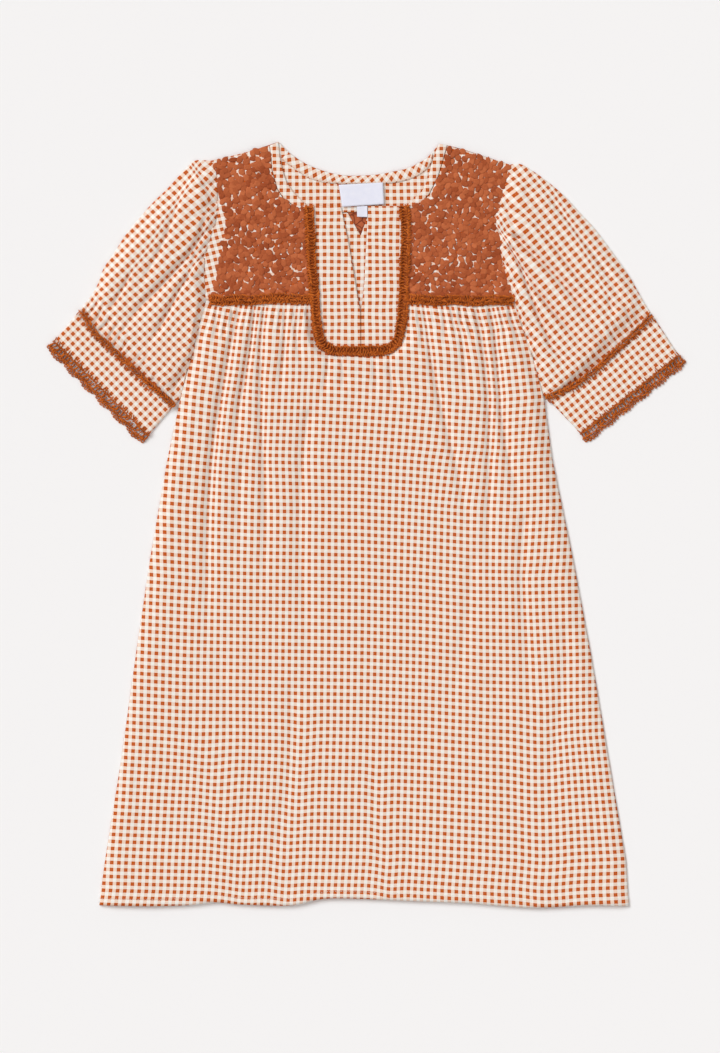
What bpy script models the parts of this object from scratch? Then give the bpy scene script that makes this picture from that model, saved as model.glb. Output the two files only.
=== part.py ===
"""A gathered mini dress in checked cotton, laid flat on its back.

The dress lies on z = 0 with its front up: the hem towards -Y, the shoulders towards +Y, and the
side that is on the left from above at -X. The origin is under the middle of the whole outline.
Tables and lengths are in millimetres, and the mesh builders turn them into metres.

Each piece is a wall on a plan outline. The back pieces lie on the ground, the front pieces lie on
them, and the folds are soft troughs in the height of a piece, so that no two layers can cross.
"""
import functools
import math

import bmesh
import bpy

MM = 0.001
CLOTH = 1.2            # wall of a cloth piece, with the air that its weave holds
GAP = 0.3              # clearance between two pieces that touch
SEAM_EASE = 0.8        # the same along a curved seam, whose two sides have other chords
FRONT_LEVEL = CLOTH + GAP
NECK_RISE = 1.3        # how far the front lies higher over the neck facing
PANEL_PUFF = 3.0       # how far the front's ridges stand over its troughs, under the yokes
HEM_PUFF = 1.3         # the same at the hem
SLEEVE_LOW = 2.9       # top of a sleeve where it lies flat
SLEEVE_PUFF = 3.4      # how far a sleeve's ridges stand over that
HEM_EXTRA = 0.5        # the turned hem's second ply
TURNED_BELOW = -426    # height on the plan below which the hem is turned
FACING = 1.0           # wall of the neck's facing and of its binding
SLIT_FACING = 0.9
TAPE = 0.9             # wall of the label and of the size tab
FOLDED_BAND = 1.3      # wall of the bands beside the neck opening
YOKE_WALL = 1.4        # wall of the yokes and of the bib, whose ply is faced
STITCH_RELIEF = 0.9    # how far the embroidery stands over the yokes
STITCH_MARGIN = 8.0    # plain cloth between a yoke's edge and the raised work

YOKE_FOOT = 259.3      # seam between the yokes and the skirt
MIDDLE = -7.5          # the neckline's centre line

# Section rows of the skirt: y, left edge x, right edge x
SKIRT = (
    (259, -183, 170), (225, -192, 181), (190, -201, 193), (147, -212.5, 205), (75, -228, 215),
    (-40, -248, 239), (-155, -265, 260.5), (-270, -281, 280), (-385, -299.5, 299.5),
    (-438, -306.5, 303))
# Points along the hem's edge: x, y
HEM = (
    (-306.5, -436.5), (-248, -437.5), (-202, -436), (-173, -433), (-144, -435.5), (-87, -436.5),
    (-52, -429.5), (-18, -428.5), (68, -432), (120, -434), (189, -439), (258, -436.5), (303, -437.5))
# Where the columns of the front meet its top seam: share across, x, y
FRONT_SEAM = (
    (0.0, -183, 259), (0.33, -61, 259), (0.355, -57.5, 231), (0.375, -54, 213), (0.395, -46.5, 204.5),
    (0.43, -34, 200.8), (0.50, -6, 200.6), (0.57, 22, 200.8), (0.605, 33.5, 204.8), (0.625, 39, 213),
    (0.645, 43, 231), (0.67, 46, 259), (1.0, 170, 259))
# Edges of the yokes, from the shoulder down: x, y
LEFT_ARMHOLE = ((-178.4, 419), (-173.5, 408), (-172, 389), (-171, 372), (-173, 352), (-177.5, 337),
                (-181.8, 323.7), (-186, 306.8), (-186.9, 290.4), (-185.5, 273), (-183, 259.6))
# The left yoke's embroidery stops short of its armhole along this line: x, y
LEFT_WORKED_EDGE = ((-172, 408), (-171, 389), (-167, 375), (-161.5, 357), (-161, 339), (-167, 314),
                    (-172.5, 286), (-177, 270))
LEFT_YOKE_NECK = ((-110.5, 436), (-107.5, 408), (-101.5, 386), (-94.5, 375.5), (-80, 365), (-66.8, 362),
                  (-65, 338), (-63, 310), (-61, 280), (-60.5, 259.6))
RIGHT_ARMHOLE = ((166.5, 414.5), (163, 401), (158.6, 381), (152.5, 361.5), (150.8, 353), (152.4, 339),
                 (157.3, 311), (163, 287), (169, 265), (170, 259.6))
RIGHT_YOKE_NECK = ((94.5, 436.5), (88, 414.5), (84, 401), (74, 381), (66, 371), (56, 365), (48.9, 361.5),
                   (47.3, 339), (46.3, 311), (45.4, 287), (45.2, 259.6))
# The opening's edge, on each side, from the shoulder to the top of the bib: x, y
LEFT_OPENING = ((-100, 440.6), (-98, 422.6), (-93, 401.5), (-86, 387.5), (-76.5, 376.6), (-67.2, 367.6))
RIGHT_OPENING = ((84.5, 438.5), (78.2, 422.6), (72.4, 402), (66, 385.8), (54.6, 374.3), (47, 367.4))
BACK_NECK = ((-100, 441), (-89, 429.5), (-70.7, 417), (-52, 409), (-34, 404), (-15, 402), (12, 403.5),
             (30.5, 406.5), (49, 411), (67, 420), (76.5, 428.5), (84.5, 438.7))
BINDING_FOOT = ((-96.6, 421), (-81.4, 409.6), (-66, 399.5), (-49.4, 394.4), (-31, 392.7), (-7.5, 392.1),
                (21, 392.7), (41.7, 395.3), (58.5, 401), (70.2, 409.6), (77, 420))
# Section rows of the bib's halves: y, outer edge x, edge at the slit x
BIB_LEFT = ((367, -64, -28.4), (328, -62, -20), (282, -60, -12), (257, -59, -7.8), (247, -58, -5.7),
            (231, -56, -5.5), (214, -52.2, -5.4), (205.5, -46, -5.4), (201.2, -34, -5.3))
BIB_RIGHT = ((367, 45, 3.2), (334, 46, 1.4), (317, 45.6, 0.6), (282, 45, -1.0), (257, 44.3, -3.8),
             (247, 43.4, -4.9), (231, 41.4, -4.9), (214, 37.6, -4.9), (205.5, 31.5, -4.9), (201.2, 22, -4.9))
BIB_TRIM_PATH = (
    (-65.5, 366), (-63.8, 340), (-62.5, 309), (-60, 275), (-57.8, 250), (-55.2, 225), (-50.6, 209.5),
    (-39.7, 201.8), (-23.6, 200.4), (-6, 200.3), (11, 200.5), (26, 202.5), (36.2, 211), (40.6, 227),
    (43.2, 245), (44.4, 275), (46, 309), (46.6, 340), (45, 366))
TRIM_HALF_WIDTH = 6.0
TRIM_HEIGHT = 2.0

# A sleeve's edges: the fold over the arm, from the shoulder to the cuff seam: x, y
LEFT_OVERARM = ((-178.7, 419.2), (-196, 419.3), (-210, 406.5), (-227, 388), (-245.5, 370), (-261.6, 351),
                (-276.6, 333), (-288, 314.5), (-300.7, 296), (-307.6, 278), (-312.2, 268.5), (-321.4, 256),
                (-326.7, 249.5))
RIGHT_OVERARM = ((166.9, 414.6), (180, 414.8), (206.4, 397.5), (228.3, 379), (245.5, 360.5), (262.8, 342),
                 (276.6, 324), (290.4, 305), (303, 287), (313.4, 268.5), (322.6, 252.5),
                 (328.6, 243.5))
LEFT_SKIRT_ARMHOLE = ((-184, 256), (-192.4, 225), (-201.4, 190), (-213, 147.5))
RIGHT_SKIRT_ARMHOLE = ((170.6, 256), (181.6, 225), (193.5, 190), (205.5, 149.5))
LEFT_CUFF_SEAM = ((-326.7, 249.5), (-311.1, 223.7), (-285.5, 199), (-255, 169.8), (-219.6, 138.6))
RIGHT_CUFF_SEAM = ((328.6, 243.5), (312, 225.5), (290.4, 205.3), (262, 178.5), (234, 158.8),
                   (207.6, 147.5))
LEFT_CUFF_EDGE = ((-357.4, 212), (-249.4, 103.8))
RIGHT_CUFF_EDGE = ((360.2, 195.4), (247.6, 105.4))
SEAM_STEP = (0.4, 0.5)  # from a sleeve's end to its cuff's start, outwards and down
LACE_DEPTH = 11.5
LACE_WALL = 0.9
LACE_TOP = 2.8         # top of the lace, which lies a little over the ground
CUFF_TRIM_HALF_WIDTH = 3.2
CUFF_TRIM_HEIGHT = 1.7
SCALLOP_COUNT = 6
SCALLOP_DEPTH = 3.5
CUFF_TOP = 3.1

# Troughs of the front: start x, y, end x, y, half width, depth as a share of the puff
FRONT_FOLDS = (
    (-170, 252, -174, 200, 5, 0.6), (-148, 252, -196, -201, 6, 1.0), (-131, 252, -147, 72, 5, 0.9),
    (-141, 67, -148, -48, 7, 0.45), (-118, 252, -121, 177, 4, 0.5), (-109, 252, -128, -124, 6, 0.75),
    (-94, 252, -95, 139, 4.5, 0.7), (-79, 252, -75, 177, 4, 0.6), (-65, 250, -60, 202, 4, 0.6),
    (-66, 127, -73, -218, 9, 0.6), (-82, -189, -109, -431, 9, 0.6),
    (52, 246, 51, 200, 4, 0.6), (63, 250, 67, 190, 4, 0.5), (73, 250, 118, -40, 6, 0.8),
    (120, -40, 103, -241, 9, 0.45), (88, 250, 93, 202, 4, 0.6), (99, 250, 105, 208, 4, 0.6),
    (111, 250, 114, 150, 4.5, 0.6), (126, 250, 155, -105, 6, 0.8), (140, 250, 186, -11, 6, 1.0),
    (186, 6, 181, -247, 8, 0.75), (155, 252, 162, 202, 4, 0.6), (170, 248, 175, 195, 4, 0.6),
    (227, -120, 213, -362, 9, 0.6), (144, -178, 168, -233, 12, 0.4), (155, -247, 195, -431, 14, 0.4),
    (-248, -233, -141, -375, 12, 0.45), (-165, -149, -157, -275, 9, 0.4), (-242, -53, -249, -143, 8, 0.4),
    (-264, -275, -255, -379, 8, 0.4), (10, -293, 18, -425, 10, 0.4), (53, -344, 53, -419, 9, 0.35),
    (-43, 193, -47, 142, 4, 0.5), (-26, 193, -26, 150, 4, 0.4), (11, 193, 12, 147, 4, 0.45),
    (29, 195, 32, 139, 4, 0.5))
LEFT_SLEEVE_FOLDS = (
    (-188, 335, -281, 218, 6, 1.0), (-271, 285, -302, 236, 4, 0.6), (-203, 285, -255, 200, 5, 0.7),
    (-186, 350, -203, 275, 4, 0.5), (-195, 411, -182, 393, 3, 0.6), (-183, 388, -171, 370, 3, 0.6),
    (-212, 402, -229, 328, 6, 0.35), (-206, 183, -224, 144, 4, 0.8))
RIGHT_SLEEVE_FOLDS = (
    (175, 333, 282, 211, 6, 1.0), (166, 317, 263, 190, 5, 0.9), (160, 372, 175, 333, 4, 0.7),
    (158, 344, 162, 328, 3, 0.6), (180, 243, 206, 163, 4, 0.8), (211, 209, 248, 172, 4, 0.5),
    (219, 372, 311, 234, 5, 0.6), (280, 257, 288, 241, 3, 0.5), (186, 384, 249, 310, 6, 0.35))

# Rows of the front, as shares of the way from its top seam to the hem's edge
FRONT_ROWS = (0, 0.012, 0.03, 0.055, 0.085, 0.125, 0.175, 0.235, 0.305, 0.385, 0.47, 0.56, 0.65, 0.74, 0.83,
              0.91, 0.986, 1)
FRONT_COLUMNS = 80
# Rows of a sleeve, as shares of the way from the armhole to the cuff
SLEEVE_COLUMNS = 24    # over and under, the same for a cuff, so that their edges match along the seam
SLEEVE_UNDER = 18
SLEEVE_ROWS = (0, 0.07, 0.16, 0.27, 0.38, 0.5, 0.61, 0.72, 0.82, 0.93, 1)

# Colour, roughness
MATERIALS = {
    "gingham": ((0.78, 0.52, 0.38, 1), 0.85),
    "embroidery": ((0.40, 0.11, 0.045, 1), 0.8),
    "crochet": ((0.41, 0.10, 0.025, 1), 0.85),
    "woven_label": ((0.68, 0.70, 0.84, 1), 0.7)}


def eased(value):
    """A share held between 0 and 1, with soft ends."""
    value = min(max(value, 0.0), 1.0)
    return value * value * (3 - 2 * value)


def mix(first, second, share):
    return tuple(a + (b - a) * share for a, b in zip(first, second))


def curve(points, soft=True):
    """A function of a share of the length, through the points in turn."""
    lengths = [0.0]
    for before, after in zip(points, points[1:]):
        lengths.append(lengths[-1] + math.dist(before, after))

    def at(share):
        length = min(max(share, 0.0), 1.0) * lengths[-1]
        index = 0
        while index < len(points) - 2 and length > lengths[index + 1]:
            index += 1
        part = (length - lengths[index]) / (lengths[index + 1] - lengths[index])
        start, end = points[index], points[index + 1]
        if not soft:
            return mix(start, end, part)
        before = points[max(index - 1, 0)]
        after = points[min(index + 2, len(points) - 1)]
        return tuple(
            0.5 * (2 * b + (c - a) * part + (2 * a - 5 * b + 4 * c - d) * part ** 2
                   + (3 * b - a - 3 * c + d) * part ** 3)
            for a, b, c, d in zip(before, start, end, after))
    return at


def corner_shares(points, longest):
    """Shares of the length at each point, with more between them where a stretch is long."""
    lengths = [math.dist(before, after) for before, after in zip(points, points[1:])]
    shares, done = [0.0], 0.0
    for length in lengths:
        parts = math.ceil(length / longest)
        shares += [(done + length * part / parts) / sum(lengths) for part in range(1, parts + 1)]
        done += length
    return shares


def table(rows):
    """A function that reads the other columns of a table at any value of its first one."""
    rows = sorted(rows)

    def at(value):
        value = min(max(value, rows[0][0]), rows[-1][0])
        for low, high in zip(rows, rows[1:]):
            if value <= high[0]:
                break
        return mix(low[1:], high[1:], (value - low[0]) / (high[0] - low[0]))
    return at


def chain(*parts):
    """Curves one after another, each given as a share of the whole and a curve."""
    def at(share):
        for size, part in parts:
            if share <= size or part is parts[-1][1]:
                return part(min(share / size, 1.0))
            share -= size
    return at


def patch(top, foot, left, right):
    """A plan between four edges that meet at their ends: (share across, share down) to (x, y)."""
    corners = top(0), top(1), foot(0), foot(1)

    def at(across, down):
        return tuple(
            (1 - down) * a + down * b + (1 - across) * c + across * d
            - (1 - down) * ((1 - across) * e + across * f) - down * ((1 - across) * g + across * h)
            for a, b, c, d, e, f, g, h in zip(
                top(across), foot(across), left(down), right(down), *corners))
    return at


def between(first, second):
    """A plan ruled from one edge to another."""
    return lambda across, down: mix(first(across), second(across), down)


def sections(rows):
    """A plan from section rows of y, start x and end x."""
    read = table(rows)
    top, foot = max(rows)[0], min(rows)[0]

    def at(across, down):
        y = top + (foot - top) * down
        start, end = read(y)
        return start + (end - start) * across, y
    return at


def front_level(x, y):
    """The underside of the front where it lies flat: higher over the facing and the slit."""
    beside = eased((160 - abs(x - MIDDLE)) / 35)
    return FRONT_LEVEL + NECK_RISE * beside * eased((y - 165) / 30)


def trough(x, y, fold):
    """How deep one fold is at a place, from 0 to 1, fading towards its lower end."""
    x0, y0, x1, y1, half_width, depth = fold
    run_x, run_y = x1 - x0, y1 - y0
    length = math.hypot(run_x, run_y)
    along = ((x - x0) * run_x + (y - y0) * run_y) / length ** 2
    aside = ((x - x0) * run_y - (y - y0) * run_x) / length
    width = half_width * (1 + 0.8 * min(max(along, 0), 1))
    ends = eased(1 + along * length / 8) * eased((1 - along) * 2.2)
    return depth * ends * math.exp(-(aside / width) ** 2)


def folded(x, y, folds):
    """What is left of the puff at a place after all the folds near it."""
    left = 1.0
    for fold in folds:
        left *= 1 - min(trough(x, y, fold), 1)
    return left


@functools.cache
def bib_seam():
    """Places along the bib's seam, close enough to measure a distance from."""
    path = curve(BIB_TRIM_PATH)
    return [path(index / 90) for index in range(91)]


def front_underside(x, y):
    """Underside of the skirt's front: flat at its seams, gathered below them, near flat at the hem."""
    left, right = table(SKIRT)(y)
    seams = min(YOKE_FOOT - y, min(math.dist((x, y), place) for place in bib_seam()))
    down = eased((seams - TRIM_HALF_WIDTH - 4) / 11)
    sides = eased((min(x - left, right - x)) / 14)
    puff = HEM_PUFF + (PANEL_PUFF - HEM_PUFF) * eased((y + 250) / 480)
    return front_level(x, y) + puff * down * sides * folded(x, y, FRONT_FOLDS)


def petals(x, y):
    """Height share of the embroidery: rows of domed flowers, every second row moved half a step."""
    step = 26.0
    row = round(y / (step * 0.85))
    shift = 0.5 * step if row % 2 else 0.0
    centre = (round((x - shift) / step) * step + shift, row * step * 0.85)
    distance = math.dist((x, y), centre)
    return max(0.0, 1 - (distance / (step * 0.56)) ** 2)


def material(name):
    made = bpy.data.materials.get(name)
    if made is None:
        colour, roughness = MATERIALS[name]
        made = bpy.data.materials.new(name)
        made.use_nodes = True
        shader = made.node_tree.nodes["Principled BSDF"]
        shader.inputs["Base Color"].default_value = colour
        shader.inputs["Roughness"].default_value = roughness
        shader.inputs["Metallic"].default_value = 0.0
    return made


def finish(name, shape, collection, look):
    """Turn a closed bmesh in millimetres into an object in metres."""
    bmesh.ops.scale(shape, vec=(MM, MM, MM), verts=shape.verts)
    bmesh.ops.recalc_face_normals(shape, faces=shape.faces)
    mesh = bpy.data.meshes.new(name)
    shape.to_mesh(mesh)
    shape.free()
    mesh.materials.append(material(look))
    mesh.shade_smooth()
    mesh.set_sharp_from_angle(angle=math.radians(50))
    made = bpy.data.objects.new(name, mesh)
    collection.objects.link(made)
    return made


def wall(name, plan, columns, rows, underside, thickness, collection, look="gingham"):
    """A sheet on a plan, extruded upwards. Rows are a count or the shares themselves."""
    shares = shares_of(rows)
    last = len(shares) - 1
    shape = bmesh.new()
    bmesh.ops.create_grid(shape, x_segments=columns, y_segments=last, size=0.5)
    for vert in shape.verts:
        down = shares[round((0.5 - vert.co.y) * last)]
        x, y = plan(vert.co.x + 0.5, down)
        vert.co = (x, y, underside(x, y))
    raised = bmesh.ops.extrude_face_region(shape, geom=shape.faces[:])
    for vert in raised["geom"]:
        if isinstance(vert, bmesh.types.BMVert):
            vert.co.z += thickness(vert.co.x, vert.co.y)
    return finish(name, shape, collection, look)


def shares_of(rows):
    """Row places as shares: given as they are, or as a count of even steps."""
    return [index / rows for index in range(rows + 1)] if isinstance(rows, int) else rows


def tube(name, plan, over, under, rows, top, collection, look="gingham", thick=CLOTH, ground=0.0):
    """A flattened tube on a plan: across runs over its width and down along its axis.

    Its upper side has the height that top gives, its lower side lies on the ground, and both ends
    are open.
    """
    def ring(down, inner):
        width = math.dist(plan(0, down), plan(1, down))
        inset = thick / width if inner else 0.0
        lift = thick if inner else 0.0
        edge = 0.45 * top(*plan(0, down), 0.0, down)
        points = []
        for index in range(over + 1):
            across = inset + (1 - 2 * inset) * index / over
            x, y = plan(across, down)
            height = edge + ground if index in (0, over) else top(x, y, index / over, down) - lift
            points.append((x, y, height))
        for index in range(under - 1, 0, -1):
            across = inset + (1 - 2 * inset) * index / under
            points.append((*plan(across, down), ground + lift))
        return points

    shape = bmesh.new()
    shares = shares_of(rows)
    outer = [[shape.verts.new(point) for point in ring(share, False)] for share in shares]
    inner = [[shape.verts.new(point) for point in ring(share, True)] for share in shares]
    count = len(outer[0])
    last = len(shares) - 1
    for place in range(count):
        after = (place + 1) % count
        for row in range(last):
            for side in (outer, inner):
                near, far = side[row], side[row + 1]
                shape.faces.new((near[place], near[after], far[after], far[place]))
        for end in (0, last):
            shape.faces.new((outer[end][place], outer[end][after], inner[end][after], inner[end][place]))
    return finish(name, shape, collection, look)


def ribbon(name, path, stations, half_width, height, base, collection, look="crochet", picots=0):
    """A low rounded band along a path, flat below, at the height that base gives under it."""
    profile = ((-1, 0.0), (-0.8, 0.8), (0.0, 1.0), (0.8, 0.8), (1, 0.0))
    shape = bmesh.new()
    rings = []
    for index in range(stations + 1):
        share = index / stations
        x, y = path(share)
        ahead, behind = path(min(share + 0.004, 1)), path(max(share - 0.004, 0))
        length = math.dist(ahead, behind)
        side = ((ahead[1] - behind[1]) / length, (behind[0] - ahead[0]) / length)
        wide = half_width * (1 + 0.08 * math.cos(math.tau * picots * share))
        level = max(base(x + side[0] * wide * step, y + side[1] * wide * step) for step in (-1, 0, 1))
        rings.append([
            shape.verts.new((x + side[0] * wide * step, y + side[1] * wide * step, level + height * rise))
            for step, rise in profile])
    for before, after in zip(rings, rings[1:]):
        for place in range(len(profile)):
            following = (place + 1) % len(profile)
            shape.faces.new((before[place], before[following], after[following], after[place]))
    shape.faces.new(rings[0])
    shape.faces.new(rings[-1])
    return finish(name, shape, collection, look)


def flat(value):
    return lambda x, y: value


def side_edge(column, top, foot):
    """The skirt's left (0) or right (1) edge, as a curve from one height to another."""
    side = table(SKIRT)

    def at(down):
        y = top + (foot - top) * down
        return side(y)[column], y
    return at


def make_back(collection):
    """Back panel and back yoke, flat on the ground."""
    hem = curve(HEM)
    top_y = YOKE_FOOT - 0.3
    left, right = side_edge(0, top_y, hem(0)[1]), side_edge(1, top_y, hem(1)[1])
    top = curve((left(0), right(0)), soft=False)
    wall("back_panel", patch(top, hem, left, right), 18, 14, flat(0.0), flat(CLOTH), collection)

    shoulder_left = curve(((-178.4, 419), (-144, 427), (-100, 441)))
    shoulder_right = curve(((84.5, 438.7), (110, 433), (166.5, 414.5)))
    top = chain((0.23, shoulder_left), (0.53, curve(BACK_NECK)), (0.24, shoulder_right))
    foot = curve((LEFT_ARMHOLE[-1], RIGHT_ARMHOLE[-1]), soft=False)
    plan = patch(top, foot, curve([(x + 0.4, y) for x, y in LEFT_ARMHOLE]),
                 curve([(x - 0.4, y) for x, y in RIGHT_ARMHOLE]))
    wall("back_yoke", plan, 26, 10, flat(0.0), flat(CLOTH), collection, "embroidery")


def make_neck(collection):
    """What shows inside the neck opening: facing, binding, label and size tab."""
    under = FRONT_LEVEL
    foot = curve(((-104, 419), (-92, 392), (-76, 372), (-55, 361.2), (-7, 360.4), (36, 361.2), (60, 372),
                  (76, 392), (87, 419)))
    wall("back_neck_facing", between(curve(BACK_NECK), foot), 20, 3, flat(under), flat(FACING), collection)
    level = under + FACING + GAP
    head = curve([(x, y - 0.4) for x, y in BACK_NECK[1:-1]])
    wall("back_neck_binding", between(head, curve(BINDING_FOOT)), 18, 1, flat(level), flat(FACING), collection)
    level += FACING + GAP
    label = between(curve(((-30.8, 391.3), (20.2, 394.1)), False), curve(((-26.7, 366), (21.5, 369.1)), False))
    wall("label", label, 4, 2, flat(level), flat(TAPE), collection, "woven_label")
    tab = between(curve(((-9.8, 366.4), (2.1, 367.2)), False), curve(((-9.6, 354.6), (2.3, 354.2)), False))
    wall("size_tab", tab, 1, 1, flat(level), flat(TAPE), collection, "woven_label")


def make_front(collection):
    """Skirt front, yokes, neck bands, bib halves and the facing behind the slit."""
    seam = table(FRONT_SEAM)
    hem = curve(HEM)
    left, right = side_edge(0, 259, hem(0)[1]), side_edge(1, 259, hem(1)[1])
    plan = patch(seam, hem, left, right)

    def ply(x, y):
        return CLOTH + (HEM_EXTRA if y < TURNED_BELOW else 0.0)
    wall("front_panel", plan, FRONT_COLUMNS, FRONT_ROWS, front_underside, ply, collection)

    def relief(edges):
        def thickness(x, y):
            inside = min(math.dist((x, y), point) for point in edges)
            return YOKE_WALL + STITCH_RELIEF * petals(x, y) * eased((inside - STITCH_MARGIN) / 8)
        return thickness
    for name, shoulder, armhole, neck in (
            ("front_yoke_left", ((-178.4, 419), (-144, 427), (-110.5, 436)), LEFT_ARMHOLE, LEFT_YOKE_NECK),
            ("front_yoke_right", ((166.5, 414.5), (130, 426), (94.5, 436.5)), RIGHT_ARMHOLE, RIGHT_YOKE_NECK)):
        outer, inner = curve(armhole), curve(neck, soft=False)
        foot = curve((armhole[-1], neck[-1]), soft=False)
        worked = curve(LEFT_WORKED_EDGE) if name.endswith("left") else outer
        lines = (outer, inner, foot, worked)
        edges = [path(index / 30) for path in lines for index in range(31)]
        rows = corner_shares(neck, 12)
        wall(name, patch(curve(shoulder), foot, outer, inner), 13, rows, front_level, relief(edges), collection,
             "embroidery")

    for name, opening, neck in (("neck_band_left", LEFT_OPENING, LEFT_YOKE_NECK[:6]),
                                ("neck_band_right", RIGHT_OPENING, RIGHT_YOKE_NECK[:7])):
        away = -SEAM_EASE if opening is RIGHT_OPENING else SEAM_EASE
        inner = curve([(x + away, y + SEAM_EASE) for x, y in neck], soft=False)
        wall(name, between(curve(opening), inner), 20, 1, front_level, flat(FOLDED_BAND), collection)

    wall("bib_left", sections(BIB_LEFT), 4, 15, front_level, flat(YOKE_WALL), collection)
    wall("bib_right", sections(BIB_RIGHT), 4, 15, front_level, flat(YOKE_WALL), collection)

    notch = curve(((-36, 359.6), (-20.5, 359.6), (-5.5, 333), (4, 359.6), (12, 359.6)), soft=False)
    foot = curve(((-14, 240), (2, 240)), soft=False)
    wall("slit_facing", between(notch, foot), 8, 6, flat(FRONT_LEVEL), flat(SLIT_FACING), collection)


def make_trims(collection):
    """Crochet bands round the bib and along the yokes' lower seams."""
    def over(x, y):
        return front_level(x, y) + YOKE_WALL + GAP + 0.05
    ribbon("bib_trim", curve(BIB_TRIM_PATH), 58, TRIM_HALF_WIDTH, TRIM_HEIGHT, over, collection, picots=29)
    clear = TRIM_HALF_WIDTH * 1.1 + GAP
    left = curve(((-178.5, 259.6), (-120, 260), (-60.5 - clear, 260.3)))
    right = curve(((45.5 + clear, 259), (110, 258), (169, 258.6)))
    ribbon("yoke_trim_left", left, 24, TRIM_HALF_WIDTH, TRIM_HEIGHT, over, collection, picots=12)
    ribbon("yoke_trim_right", right, 24, TRIM_HALF_WIDTH, TRIM_HEIGHT, over, collection, picots=12)


def make_sleeve(side, collection):
    """One sleeve, its cuff, the crochet band over their seam and the lace at the cuff's edge."""
    left = side == "left"
    armhole_points = LEFT_ARMHOLE if left else RIGHT_ARMHOLE
    skirt_points = LEFT_SKIRT_ARMHOLE if left else RIGHT_SKIRT_ARMHOLE
    seam_points = LEFT_CUFF_SEAM if left else RIGHT_CUFF_SEAM
    folds = LEFT_SLEEVE_FOLDS if left else RIGHT_SLEEVE_FOLDS
    out = -SEAM_EASE if left else SEAM_EASE

    armhole = chain((0.6, curve([(x + out, y) for x, y in armhole_points])),
                    (0.4, curve([(armhole_points[-1][0] + out, armhole_points[-1][1])]
                                + [(x + out, y) for x, y in skirt_points])))
    start, end = armhole(0), armhole(1)
    seam = curve(seam_points)
    overarm_from = curve([start] + list((LEFT_OVERARM if left else RIGHT_OVERARM)[1:]))
    underarm = curve((end, seam_points[-1]), soft=False)
    plan = patch(armhole, seam, overarm_from, underarm)

    def sleeve_top(x, y, across, down):
        rise = eased(across / 0.14) * eased((1 - across) / 0.22) * eased(down / 0.12 + 0.2)
        fall = eased((0.93 - down) / 0.13)
        return SLEEVE_LOW + SLEEVE_PUFF * rise * fall * folded(x, y, folds)
    tube(f"sleeve_{side}", plan, SLEEVE_COLUMNS, SLEEVE_UNDER, SLEEVE_ROWS, sleeve_top, collection)

    step = -SEAM_STEP[0] if left else SEAM_STEP[0]
    cuff_start = [(x + step, y - SEAM_STEP[1]) for x, y in seam_points]
    start_a = cuff_start[0]
    end_a, end_b = LEFT_CUFF_EDGE if left else RIGHT_CUFF_EDGE
    cuff_plan = between(curve(cuff_start), curve((end_a, end_b), False))

    def cuff_top(x, y, across, down):
        return CUFF_TOP
    tube(f"cuff_{side}", cuff_plan, SLEEVE_COLUMNS, SLEEVE_UNDER, 3, cuff_top, collection)

    band = curve(cuff_start)
    ribbon(f"cuff_trim_{side}", band, 22, CUFF_TRIM_HALF_WIDTH, CUFF_TRIM_HEIGHT, flat(CUFF_TOP + 2 * GAP),
           collection, picots=22)

    away = ((end_a[0] - start_a[0]), (end_a[1] - start_a[1]))
    length = math.hypot(*away)
    away = (away[0] / length, away[1] / length)

    def lace_plan(across, down):
        x, y = mix(end_a, end_b, across)
        scallop = SCALLOP_DEPTH * abs(math.sin(math.pi * SCALLOP_COUNT * across))
        reach = GAP + (LACE_DEPTH - SCALLOP_DEPTH + scallop) * down
        return x + away[0] * reach, y + away[1] * reach

    def lace_top(x, y, across, down):
        return LACE_TOP
    tube(f"cuff_lace_{side}", lace_plan, SCALLOP_COUNT * 5, SCALLOP_COUNT * 5, 1, lace_top, collection,
         "crochet", LACE_WALL, GAP)


def build():
    for old in list(bpy.data.objects):
        bpy.data.objects.remove(old)
    collection = bpy.data.collections.new("mini_dress")
    bpy.context.scene.collection.children.link(collection)
    make_back(collection)
    make_neck(collection)
    make_front(collection)
    make_trims(collection)
    make_sleeve("left", collection)
    make_sleeve("right", collection)


build()
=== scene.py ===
# %% [markdown]
# # A checked mini dress, laid flat
# The dress lies on a pale surface with its front up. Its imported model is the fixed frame, and this
# script dresses it: thin cloth with gathers, woven checks, raised embroidery, crochet and stitching.
# Lengths are in millimetres until a mesh is made, because a dressmaker thinks in them.

# %% Load the frame
import math

import bpy
import numpy as np
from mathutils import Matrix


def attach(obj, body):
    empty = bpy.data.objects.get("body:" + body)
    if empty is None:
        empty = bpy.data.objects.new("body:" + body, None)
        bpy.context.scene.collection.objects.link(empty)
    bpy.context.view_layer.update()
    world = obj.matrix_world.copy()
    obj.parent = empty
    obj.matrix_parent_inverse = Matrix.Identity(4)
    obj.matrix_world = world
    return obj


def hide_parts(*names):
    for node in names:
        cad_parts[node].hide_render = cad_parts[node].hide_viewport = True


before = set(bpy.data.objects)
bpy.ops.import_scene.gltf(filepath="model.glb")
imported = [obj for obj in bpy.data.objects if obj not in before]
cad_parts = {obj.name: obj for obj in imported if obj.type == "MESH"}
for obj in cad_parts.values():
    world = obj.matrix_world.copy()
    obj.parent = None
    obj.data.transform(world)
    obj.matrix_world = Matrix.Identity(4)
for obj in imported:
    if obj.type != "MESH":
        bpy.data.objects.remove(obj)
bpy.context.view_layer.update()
MM = 0.001

# %% [markdown]
# ## Curves and plans
# Every piece of a laid-out garment is a plan with a height. A plan can be ruled between two edges,
# or fill the space between four, as a Coons patch does. Both work on whole grids of points at once.

# %% Curves and plans


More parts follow.
